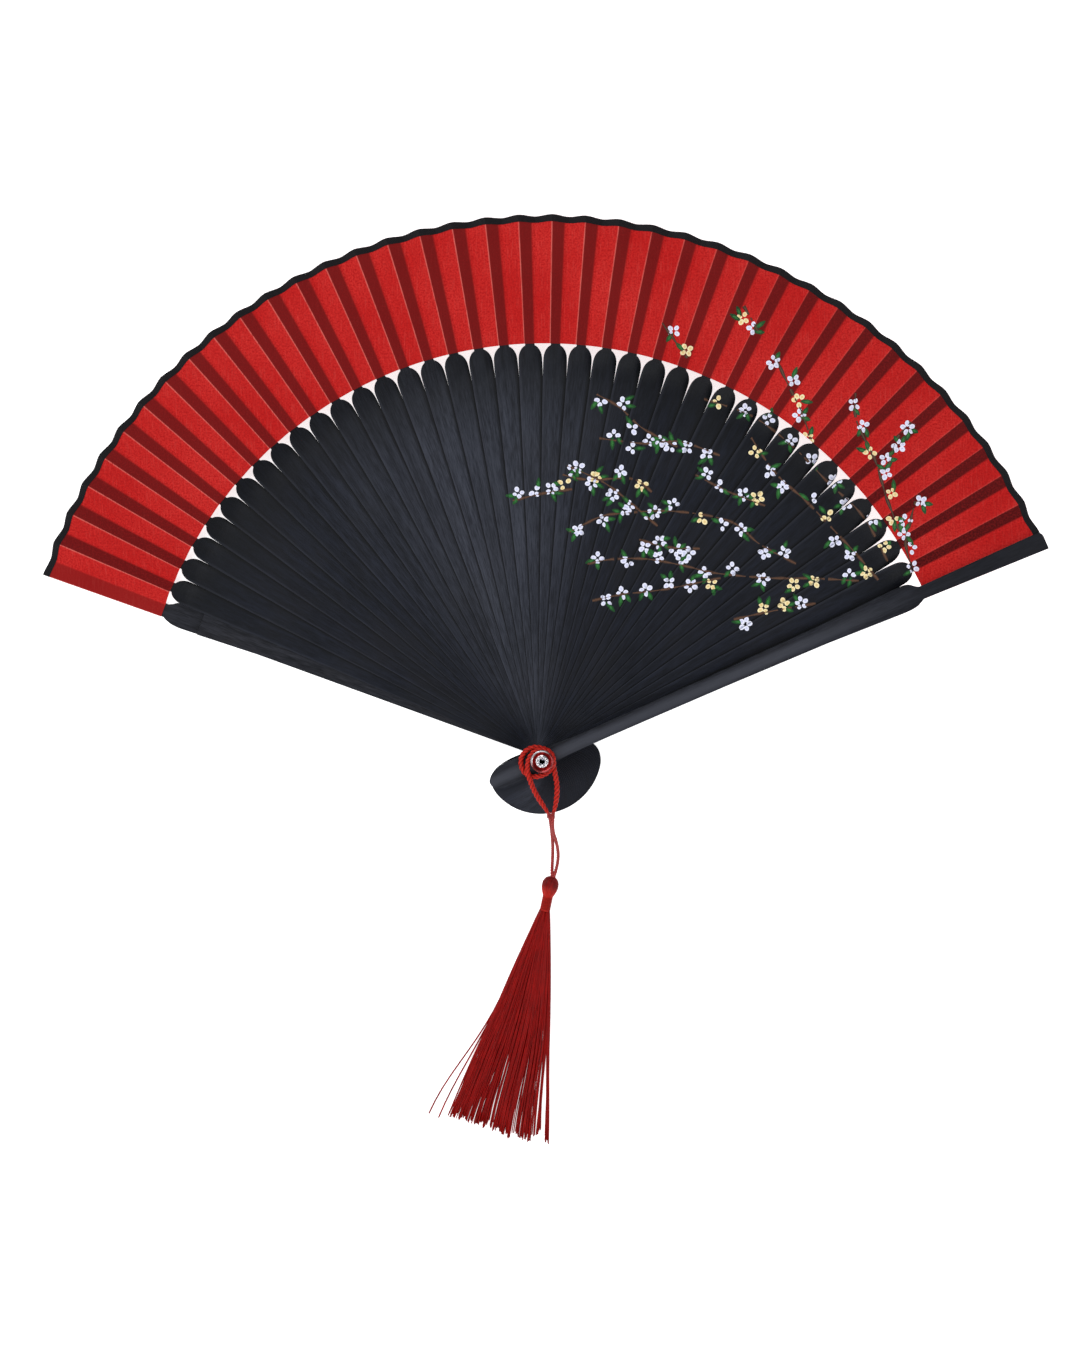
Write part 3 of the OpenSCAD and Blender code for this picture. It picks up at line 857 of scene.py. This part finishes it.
skirt_points, skirt_faces, skirt_uvs = [], [], []
for number, (line, size) in enumerate(skirt_threads()):
    points, faces, uvs = sweep(line, THREAD_SIDES, lambda *_: size)
    start = len(skirt_points)
    skirt_points += points
    skirt_faces += [tuple(start + i for i in face) for face in faces]
    skirt_uvs += [(u + number * 3.7, v) for u, v in uvs]
tassel_skirt = new_piece("silk_skirt", skirt_points, skirt_faces, [SKIRT_RED], {"tube": skirt_uvs})
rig.slot(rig.ride(tassel_skirt, "tassel"), "tassel_thread")
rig.replaces(tassel_skirt, "tassel_skirt")

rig.cord(loop_cord, exit=loop_line[0] * MM, length=path_length(loop_line) * MM,
        diameter=CORD_D * MM, far_end="knot", stiffness="limp", lay="loose",
        path=[p * MM for p in loop_line], with_pieces=[whipping])
for piece, line, fitting in zip(string_pieces, string_lines, (tassel_knob, tassel_wrap)):
    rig.cord(piece, exit=line[0] * MM, length=path_length(line) * MM, diameter=STRING_D * MM,
            far_end="knot", stiffness="limp", lay="hanging", path=[p * MM for p in line],
            with_pieces=[fitting])


# -------- leaf and tape
PANEL_GAP = 0.08
PANEL_LIFT = (RIB_T / 2 + CLOTH_T / 2) / math.cos(math.radians(PANEL_TILT)) + PANEL_GAP
SLOPE = math.tan(math.radians(PANEL_TILT))
LAST_CREASE = 2 * LAST + 1
SOFT_FOLD = 0.05
PANEL_STOPS = [0.0, 0.03, 0.08, 0.2, 0.35, 0.5, 0.65, 0.8, 0.92, 0.97, 1.0]
LEAF_ROWS = 15
REAR_HEM = 1.0
FRONT_HEM = 0.8
BLEND_HALF_W = 2.2
GLUED_STRIP_W = 6.0
panel_bow = [rng.uniform(0.0, 0.14) for _ in range(LAST_CREASE)]
panel_phase = [rng.uniform(0.0, 6.3) for _ in range(LAST_CREASE)]


def crease_dir(i):
    """Direction of crease i. Even creases are mountains over the sticks, and odd ones valleys."""
    if i == 0:
        return REAR_DIR + REAR_HEM
    if i == LAST_CREASE:
        return stick_dir(LAST) - FRONT_HEM
    if i % 2 == 0:
        return stick_dir(i // 2) + MOUNTAIN_OFF
    return stick_dir((i - 1) // 2) + VALLEY_OFF


def crease_z(i, radius):
    if i < 2:
        return GUARD_THIN + GLUE_GAP
    if i > LAST_CREASE - 2:
        return FRONT_TOP - GUARD_THIN - GLUE_GAP
    off = MOUNTAIN_OFF if i % 2 == 0 else VALLEY_OFF
    return stick_z(i // 2) + PANEL_LIFT + SLOPE * radius * math.sin(math.radians(off))


def leaf_point(i, t, radius, lift=0.0):
    """A point on panel i, between creases i and i + 1, t of the way across."""
    z = mix(crease_z(i, radius), crease_z(i + 1, radius), t)
    is_glued_flat = i == 0 or i == LAST_CREASE - 1
    if not is_glued_flat:
        toward = 1 if i % 2 == 0 else -1
        z += toward * SOFT_FOLD * (smooth((t - 0.92) / 0.08) - smooth((0.08 - t) / 0.08))
    if i % 2 == 1:
        ripple = 0.25 * math.sin(radius * 0.42 + panel_phase[i])
        z += panel_bow[i] * math.sin(math.pi * t) * (1 + ripple)
    return polar(mix(crease_dir(i), crease_dir(i + 1), t), radius, z + lift)


def blend_ends(k):
    """Where cell k of the leaf stops following stick k and starts following the next one."""
    middle_dir = (crease_dir(2 * k + 1) + crease_dir(2 * k + 2)) / 2
    middle = polar(middle_dir, (LEAF_IN + LEAF_OUT) / 2)
    across = polar(middle_dir - 90, BLEND_HALF_W)
    return (middle - across) * MM, (middle + across) * MM


def cell_columns(k):
    """(panel, t, pleat u) of each column of cell k, the two panels between sticks k and k + 1. The
    last cell also has the strip glued to the front guard."""
    panels = [2 * k, 2 * k + 1] + ([2 * k + 2] if k == STICKS else [])
    columns = [(panels[0], 0.0, 0.0)]
    for n, i in enumerate(panels):
        columns += [(i, t, n + t) for t in PANEL_STOPS[1:]]
    return columns


def leaf_cell(k):
    columns = cell_columns(k)
    points, pleat, cloth = [], [], []
    for row in range(LEAF_ROWS):
        radius = mix(LEAF_IN, LEAF_OUT, row / (LEAF_ROWS - 1))
        for i, t, u in columns:
            p = leaf_point(i, t, radius)
            points.append(p)
            pleat.append((u, radius))
            cloth.append((p.x, p.y))
    faces = [f[::-1] for f in grid_faces(LEAF_ROWS, len(columns))]
    material = CLOTH_ON_GUARD if k == 0 else CLOTH
    return new_piece(f"leaf_pleat_{k + 1:02d}", points, faces, [material],
                     {"pleat": pleat, "cloth": cloth})


# Section of the tape folded over the edge: (share of the way out, share of half the thickness)
TAPE_SECTION = [
    (-0.12, 0.75), (0.0, 0.95), (0.3, 1.0), (0.75, 1.0), (0.92, 0.75), (1.0, 0.0),
    (0.92, -0.75), (0.75, -1.0), (0.3, -1.0), (0.0, -0.95), (-0.12, -0.75)]


def tape_cell(k):
    columns = cell_columns(k)
    points, cloth = [], []
    for out, up in TAPE_SECTION:
        for i, t, _ in columns:
            wave = CREASE_WAVE * math.cos(math.pi * (t if i % 2 == 0 else 1 - t))
            radius = LEAF_OUT + out * TAPE_W + wave * mix(0.7, 1.0, max(0.0, out))
            p = leaf_point(i, t, radius, up * TAPE_T / 2)
            points.append(p)
            cloth.append((p.x, p.y + up))
    faces = [f[::-1] for f in grid_faces(len(TAPE_SECTION), len(columns))]
    return new_piece(f"edge_tape_{k + 1:02d}", points, faces, [TAPE], {"cloth": cloth})


PLEAT_LEN = LEAF_OUT - LEAF_IN


def pleat_width(radius):
    """The flat width of one cell's two panels at a distance from the pivot."""
    across = 2 * radius * math.sin(math.radians(PITCH / 4))
    return 2 * math.hypot(across, SLOPE * across)


for k in range(LAST):
    start, end = blend_ends(k)
    cell = leaf_cell(k)
    tape = tape_cell(k)
    for piece, node, slot in ((cell, "leaf", "leaf_cloth"), (tape, "leaf_tape", "edge_tape")):
        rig.blend(piece, stick_body(k), stick_body(k + 1), start, end)
        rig.replaces(piece, node)
        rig.slot(piece, slot)
    glued_strip = GLUED_STRIP_W if k == STICKS else 0.0
    widest = pleat_width(LEAF_OUT) + glued_strip
    middle_w = pleat_width((LEAF_IN + LEAF_OUT) / 2) + glued_strip * 0.9
    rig.sheet(cell, flat=(widest * MM, PLEAT_LEN * MM), held="folded",
             rests_on=[stick_node(k), stick_node(k + 1)], area=middle_w * PLEAT_LEN * MM * MM)


# -------- guards, sticks and rivet
GUARD_ROUND = 0.45
STICK_ROUND = 0.09
SHARP_ANGLE = 40
BORE_CLEAR = 4


def softened(k, slot, materials, edge_round, segments):
    """Replaces stick k's CAD piece with a smooth-shaded copy whose edges are rounded over. The last
    material goes on the edges. UV layer "blade" is the place in millimetres, across and along it."""
    node_name = stick_node(k)
    bm = bmesh.new()
    bm.from_mesh(frame["nodes"][node_name].data)
    bmesh.ops.remove_doubles(bm, verts=bm.verts, dist=0.002 * MM)
    bmesh.ops.dissolve_limit(bm, angle_limit=math.radians(0.5), verts=bm.verts, edges=bm.edges)
    sharp = [
        e for e in bm.edges
        if e.is_manifold and e.calc_face_angle(0.0) > math.radians(SHARP_ANGLE)
        and max(v.co.xy.length for v in e.verts) > BORE_CLEAR * MM
    ]
    bmesh.ops.bevel(bm, geom=sharp, offset=edge_round * MM, offset_type="OFFSET", segments=segments,
                    profile=0.5, affect="EDGES", clamp_overlap=True, material=len(materials) - 1)
    piece_name = f"{node_name}_wood"
    mesh = bpy.data.meshes.new(piece_name)
    bm.to_mesh(mesh)
    bm.free()
    for material in materials:
        mesh.materials.append(material)
    mesh.polygons.foreach_set("use_smooth", [True] * len(mesh.polygons))
    mesh.set_sharp_from_angle(angle=math.radians(50))
    along, across = polar(stick_dir(k), 1.0), polar(stick_dir(k) + 90, 1.0)
    blade = mesh.uv_layers.new(name="blade")
    for loop in mesh.loops:
        place = mesh.vertices[loop.vertex_index].co / MM
        blade.data[loop.index].uv = (place.dot(across), place.dot(along))
    piece = link(bpy.data.objects.new(piece_name, mesh))
    piece.modifiers.new("even_shading", "WEIGHTED_NORMAL").keep_sharp = True
    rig.slot(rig.ride(piece, stick_body(k)), slot)
    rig.replaces(piece, node_name)


for k, lacquered in ((0, REAR_LACQUER), (LAST, FRONT_LACQUER)):
    softened(k, "guard_wood", [lacquered, GUARD_EDGE], GUARD_ROUND, 3)
for k in range(1, LAST):
    softened(k, "stick_wood", [STICK_LACQUER], STICK_ROUND, 2)

# The washer stays as the CAD model's own
washer = frame["nodes"]["rivet_washer"]
if not washer.material_slots:
    washer.data.materials.append(WASHER_METAL)
for material_slot in washer.material_slots:
    material_slot.material = WASHER_METAL

# The rivet as one smooth turned shape: dished head with a rolled rim, and its tube's split end
# rolled outwards in the middle
HEAD_Z = FRONT_TOP + 0.05 + 2 * CORD_D + 0.15
DISH_IN, DISH_OUT = 2.3, 3.45
TUBE_R = 0.9
RIVET_PROFILE = [
    (0.0, TUBE_R), (0.0, 3.0), (0.45, 3.0), (0.6, 2.85), (0.6, 1.5), (HEAD_Z, 1.5), (HEAD_Z, 3.8)
] + [(HEAD_Z + up, r) for up, r in (
    (0.12, 3.96), (0.3, 4.0), (0.5, 3.93), (0.6, 3.75), (0.57, 3.55), (0.42, 3.35), (0.24, 3.05),
    (0.18, 2.75), (0.22, 2.45), (0.4, 2.2), (0.56, 1.95), (0.6, 1.65), (0.54, 1.3), (0.3, 1.0))
] + [(HEAD_Z, TUBE_R), (0.0, TUBE_R)]
SPLITS = 7


def rivet_place(z, x, y):
    """The tube's rolled end is split into petals of uneven height."""
    r = math.hypot(x, y)
    if z > HEAD_Z + 0.3 and r < DISH_IN:
        petal = math.sin(SPLITS * math.atan2(y, x) / 2) ** 2
        z -= 0.16 * (1 - petal) * smooth((r - TUBE_R) / 0.5)
    return Vector((x, y, z))


RIVET_SIDES = 84
points, faces, _ = revolve(RIVET_PROFILE, RIVET_SIDES, rivet_place)
rivet_slots = []
for (z, r), (z_next, r_next) in zip(RIVET_PROFILE, RIVET_PROFILE[1:]):
    is_dish = min(z, z_next) > HEAD_Z + 0.1 and DISH_IN < (r + r_next) / 2 < DISH_OUT
    is_bore = (r + r_next) / 2 < 1.0
    rivet_slots += [1 if is_dish else 2 if is_bore else 0] * RIVET_SIDES
rivet_piece = new_piece("hollow_rivet", points, faces, [NICKEL, RED_REFLECTING_NICKEL, BORE_METAL],
                        face_materials=rivet_slots)
rivet_piece.data.set_sharp_from_angle(angle=math.radians(60))
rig.slot(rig.ride(rivet_piece, "rear"), "rivet_metal")
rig.replaces(rivet_piece, "rivet")


# -------- painted spray
# Lines of the painted twigs, placed after the photo's painting: (direction, distance from the
# pivot) points, and the number of blossoms along each
TWIGS = [
    ([(28.5, 133), (33.7, 131), (36.7, 130), (44.3, 129), (51.2, 129), (57.3, 134)], 8),
    ([(29.8, 127), (34.1, 114), (39.3, 101), (47.4, 89), (54.0, 84), (62.7, 79), (71.1, 74),
      (77.3, 70)], 10),
    ([(45.8, 89), (54.0, 74), (59.5, 68), (64.5, 64), (72.8, 58)], 6),
    ([(38.0, 112), (45.0, 107), (52.1, 106), (62.6, 98), (72.9, 90), (77.0, 87), (83.5, 80)], 10),
    ([(66.9, 119), (73.5, 121), (77.9, 126), (81.8, 129)], 5),
    ([(60.0, 123), (66.9, 121), (72.4, 116), (80.2, 114)], 5),
    ([(30.1, 110), (33.4, 95), (36.5, 83)], 4),
    ([(68.0, 101), (72.5, 103), (81.2, 99), (86.9, 100)], 4),
    ([(27.0, 144.5), (31.5, 148), (33.3, 153), (35.6, 160)], 5),
    ([(33.0, 148), (37.8, 151), (42.2, 156), (47.4, 161), (49.8, 168)], 6),
    ([(40.5, 158), (42.4, 166), (42.9, 174)], 3),
    ([(49.8, 145), (53.4, 151), (58.0, 158), (60.4, 163)], 5),
    ([(63.4, 167), (66.3, 173)], 2),
    ([(70.4, 149), (74.9, 158)], 2),
    ([(30.2, 139), (37.6, 140.5), (44.5, 139), (51.8, 140), (58.9, 140.5), (66.1, 138)], 9),
    ([(84.0, 95), (90.0, 93), (97.0, 91)], 4),
    ([(64.0, 91), (70.0, 94), (77.5, 99), (85.5, 103)], 5),
    ([(49.0, 118), (55.5, 114), (62.0, 113)], 4),
    ([(53.5, 92), (60.0, 86), (66.5, 84)], 4),
]
PAINT_LIFT = 0.02
TIP_LIFT = 0.07
TURN_START = 128
TURN_LEN = 8
PAINT_DOME = 0.035
PETAL_R = 0.92
BLOSSOM_R = 1.42
DAB_CORNERS = 10
TWIG_HALF_W = 0.42
TWIG_WAVER = 0.2
CREAM_SHARE = 0.27
BREAK_CHANCE = 0.12
LOST_PETAL_CHANCE = 0.1

PAINTS = [PETAL_WHITE, PETAL_CREAM, LEAF_GREEN, TWIG_BROWN]
WHITE, CREAM, GREEN, BROWN = range(4)


def dab(middle, long_r, short_r, turn, paint, own, is_pointed=False):
    """Small polygons of one brush dab. Each corner is (x, y, 0 at the middle to 1 at the rim, the
    dab's own number)."""
    cos, sin = math.cos(turn), math.sin(turn)

    def corner(j, share):
        a = math.tau * j / DAB_CORNERS
        pinch = abs(math.sin(a)) ** 0.6 if is_pointed else 1.0
        x, y = long_r * math.cos(a) * share, short_r * math.sin(a) * share * pinch
        return middle[0] + x * cos - y * sin, middle[1] + x * sin + y * cos, share, own

    for j in range(DAB_CORNERS):
        yield [corner(j, 0.0), corner(j, 0.5), corner(j + 1, 0.5)], paint
        yield [corner(j, 0.5), corner(j, 1.0), corner(j + 1, 1.0), corner(j + 1, 0.5)], paint


def blossom(middle, is_cream):
    petals = rng.choice((4, 4, 5))
    turn = rng.uniform(0, 6.3)
    paint = CREAM if is_cream else WHITE
    for n in range(petals):
        if n and rng.random() < LOST_PETAL_CHANCE:
            continue
        a = turn + math.tau * n / petals + rng.uniform(-0.2, 0.2)
        at = BLOSSOM_R * rng.uniform(0.88, 1.12) * (1.0 if petals == 4 else 1.12)
        spot = (middle[0] + at * math.cos(a), middle[1] + at * math.sin(a))
        size = PETAL_R * rng.uniform(0.85, 1.12)
        yield from dab(spot, size * 1.08, size * 0.9, a, paint, rng.random())


def leaf_strokes(middle):
    a = rng.uniform(0, 6.3)
    for _ in range(rng.choice((1, 2, 2))):
        length = rng.uniform(1.6, 2.5)
        spot = (middle[0] + 2.6 * math.cos(a), middle[1] + 2.6 * math.sin(a))
        turn = a + rng.uniform(-0.5, 0.5)
        yield from dab(spot, length, 0.85, turn, GREEN, rng.random(), is_pointed=True)
        a += rng.uniform(0.7, 1.2)


def twig_strokes(line):
    """A dry brush line of uneven width, with short breaks."""
    own = rng.random()
    for i in range(len(line) - 1):
        if rng.random() < BREAK_CHANCE:
            continue
        a, b = line[i], line[i + 1]
        side = Vector((a.y - b.y, b.x - a.x, 0)).normalized()
        wide_a, wide_b = (
            TWIG_HALF_W + TWIG_WAVER * math.sin(n * 0.9) for n in (i, i + 1))
        for sign in (1, -1):
            pa, pb = a + side * sign * wide_a, b + side * sign * wide_b
            quad = [(p.x, p.y, share, own) for p, share in ((a, 0.0), (b, 0.0), (pb, 1.0), (pa, 1.0))]
            yield (quad if sign < 0 else quad[::-1]), BROWN


def spray():
    for corners, count in TWIGS:
        line = smooth_path([polar(d, r) for d, r in corners], 1.2)
        yield from twig_strokes(line)
        for n in range(count):
            at = line[round((n + 0.5) / count * (len(line) - 1) + rng.uniform(-1.0, 1.0))]
            ahead = (line[-1] - line[0]).normalized()
            off = rng.choice((-1, 1)) * rng.uniform(0.4, 2.4)
            middle = (at.x - ahead.y * off, at.y + ahead.x * off)
            yield from leaf_strokes(middle)
            yield from blossom(middle, rng.random() < CREAM_SHARE)


def clip(polygon, a, b):
    """The part of a polygon to the left of the line from a to b. Its corners' other values are
    carried along."""
    def side(p):
        return (b[0] - a[0]) * (p[1] - a[1]) - (b[1] - a[1]) * (p[0] - a[0])

    result = []
    for p, q in zip(polygon, polygon[1:] + polygon[:1]):
        sp, sq = side(p), side(q)
        if sp >= 0:
            result.append(p)
        if sp * sq < 0:
            t = sp / (sp - sq)
            result.append(tuple(mix(x, y, t) for x, y in zip(p, q)))
    return result


def clip_to(polygon, outline):
    for a, b in zip(outline, outline[1:] + outline[:1]):
        polygon = clip(polygon, a, b)
        if len(polygon) < 3:
            return []
    return polygon


def blade_outline(k, margin=0.06):
    """The outline of stick k's blade, anticlockwise and a little inside its edge."""
    right = [(NECK_AT, STICK_NECK_W / 2 - margin), (TIP_START, STICK_W / 2 - margin)]
    for t in (0.2, 0.4, 0.6, 0.75, 0.87, 0.96):
        narrowing = (1 - t ** TIP_BLUNTNESS) ** (1 / TIP_BLUNTNESS)
        right.append((mix(TIP_START, BLADE_LEN - margin, t), (STICK_W / 2 - margin) * narrowing))
    outline = [(u, -w) for u, w in right] + [(u, w) for u, w in reversed(right)]
    turn = math.radians(stick_dir(k))
    return [(u * math.cos(turn) - v * math.sin(turn), u * math.sin(turn) + v * math.cos(turn))
            for u, v in outline]


class PaintedMesh:
    """Collects dabs that lie on one stick or one pleat."""

    def __init__(self):
        self.points, self.faces, self.uvs, self.paints = [], [], [], []

    def add(self, polygon, paint, surface):
        corners = []
        for x, y, share, own in polygon:
            p = surface(x, y, PAINT_LIFT + PAINT_DOME * (1 - share * share))
            if p is None:
                return
            corners.append(p)
        start = len(self.points)
        self.points += corners
        self.uvs += [(share, own) for _, _, share, own in polygon]
        self.faces.append(tuple(range(start, start + len(corners))))
        self.paints.append(paint)

    def finish(self, name):
        return new_piece(name, self.points, self.faces, PAINTS, {"dab": self.uvs}, self.paints)


def stick_surface(k):
    """Finds the top of stick k at a place, from its CAD mesh."""
    mesh = frame["nodes"][stick_node(k)].data
    tree = BVHTree.FromPolygons([v.co for v in mesh.vertices],
                                [tuple(p.vertices) for p in mesh.polygons])

    def at(x, y, lift):
        hit = tree.ray_cast(Vector((x * MM, y * MM, 0.05)), Vector((0, 0, -1)))[0]
        on_turned_tip = TIP_LIFT * smooth((math.hypot(x, y) - TURN_START) / TURN_LEN)
        return None if hit is None else Vector((x, y, hit.z / MM + lift + on_turned_tip))

    return at


def pleat_surface(i):
    def at(x, y, lift):
        direction = math.degrees(math.atan2(y, x))
        t = (crease_dir(i) - direction) / (crease_dir(i) - crease_dir(i + 1))
        return leaf_point(i, min(1.0, max(0.0, t)), math.hypot(x, y), lift + CLOTH_T / 4)

    return at


def paint_spray():
    """Cuts every dab along the edges of the sticks and panels, and lays each part on its own."""
    sticks = {k: (blade_outline(k), stick_surface(k), PaintedMesh()) for k in range(1, LAST)}
    pleats = {k: PaintedMesh() for k in range(LAST)}
    for polygon, paint in spray():
        x, y, _, _ = polygon[0]
        radius = math.hypot(x, y)
        direction = math.degrees(math.atan2(y, x))
        nearest = (REAR_DIR - direction) / PITCH
        if radius < BLADE_LEN + 2:
            for k in range(max(1, round(nearest) - 2), min(STICKS, round(nearest) + 2) + 1):
                outline, surface, painted = sticks[k]
                part = clip_to(polygon, outline)
                if part:
                    painted.add(part, paint, surface)
        if radius > LEAF_IN - 2:
            first = int((REAR_DIR + MOUNTAIN_OFF - direction) / (PITCH / 2)) - 1
            for i in range(max(0, first), min(LAST_CREASE - 2, first + 3) + 1):
                inner, right, left = LEAF_IN + 0.05, crease_dir(i + 1), crease_dir(i)
                wedge = [polar(right, inner), polar(right, LEAF_OUT),
                         polar(left, LEAF_OUT), polar(left, inner)]
                part = clip_to(polygon, [(p.x, p.y) for p in wedge])
                if part:
                    pleats[min(i // 2, STICKS)].add(part, paint, pleat_surface(i))
    for k, (_, _, painted) in sticks.items():
        if painted.faces:
            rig.slot(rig.ride(painted.finish(f"stick_paint_{k:02d}"), stick_body(k)), "stick_wood")
    for k, painted in pleats.items():
        if painted.faces:
            start, end = blend_ends(k)
            piece = painted.finish(f"leaf_paint_{k + 1:02d}")
            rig.slot(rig.blend(piece, stick_body(k), stick_body(k + 1), start, end), "leaf_cloth")


paint_spray()


# -------- floor and light
FLOOR_HALF = 4000.0
FLOOR_Z = -0.05
LAMP_DISTANCE = 1500


def studio():
    s = Shader("pale_floor", Roughness=0.9, Specular_IOR_Level=0.1,
               Emission_Color=(1.0, 1.0, 1.0, 1.0), Emission_Strength=0.75)
    grain = s.noise(s.place(), 3.0, detail=2.0)
    s.set("Base Color", s.blend(s.ramp(grain, 0.3, 0.7), (246, 246, 246), (250, 250, 250)))
    corners = [(FLOOR_HALF * x, FLOOR_HALF * y, FLOOR_Z)
               for x, y in ((-1, -1), (1, -1), (1, 1), (-1, 1))]
    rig.stage(new_piece("floor", corners, [(0, 1, 2, 3)], [s.material]))

    # (direction, height angle, size, watts)
    lamps = {"key": (125, 48, 1100, 11.5), "left": (200, 42, 1000, 6.0),
             "right": (-20, 42, 1000, 6.0), "near": (-90, 46, 1000, 6.5)}
    for name, (direction, height, width, watts) in lamps.items():
        light = bpy.data.lights.new(name, "AREA")
        light.shape = "DISK"
        light.size = width * MM
        light.energy = watts
        lamp = link(bpy.data.objects.new(name, light))
        flat = LAMP_DISTANCE * math.cos(math.radians(height))
        lamp.location = polar(direction, flat, LAMP_DISTANCE * math.sin(math.radians(height))) * MM
        lamp.rotation_euler = (-lamp.location).to_track_quat("-Z", "Y").to_euler()

    world = bpy.data.worlds.new("soft_room")
    world.use_nodes = True
    background = world.node_tree.nodes["Background"].inputs
    background["Color"].default_value = (0.93, 0.96, 1.0, 1.0)
    background["Strength"].default_value = 0.32
    bpy.context.scene.world = world
    bpy.context.scene.view_settings.view_transform = "Standard"


studio()

with open("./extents.json", "w") as out:
    json.dump({"cad": [list(c) for c in cad_box], "visual": [list(c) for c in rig.bounds()]}, out)
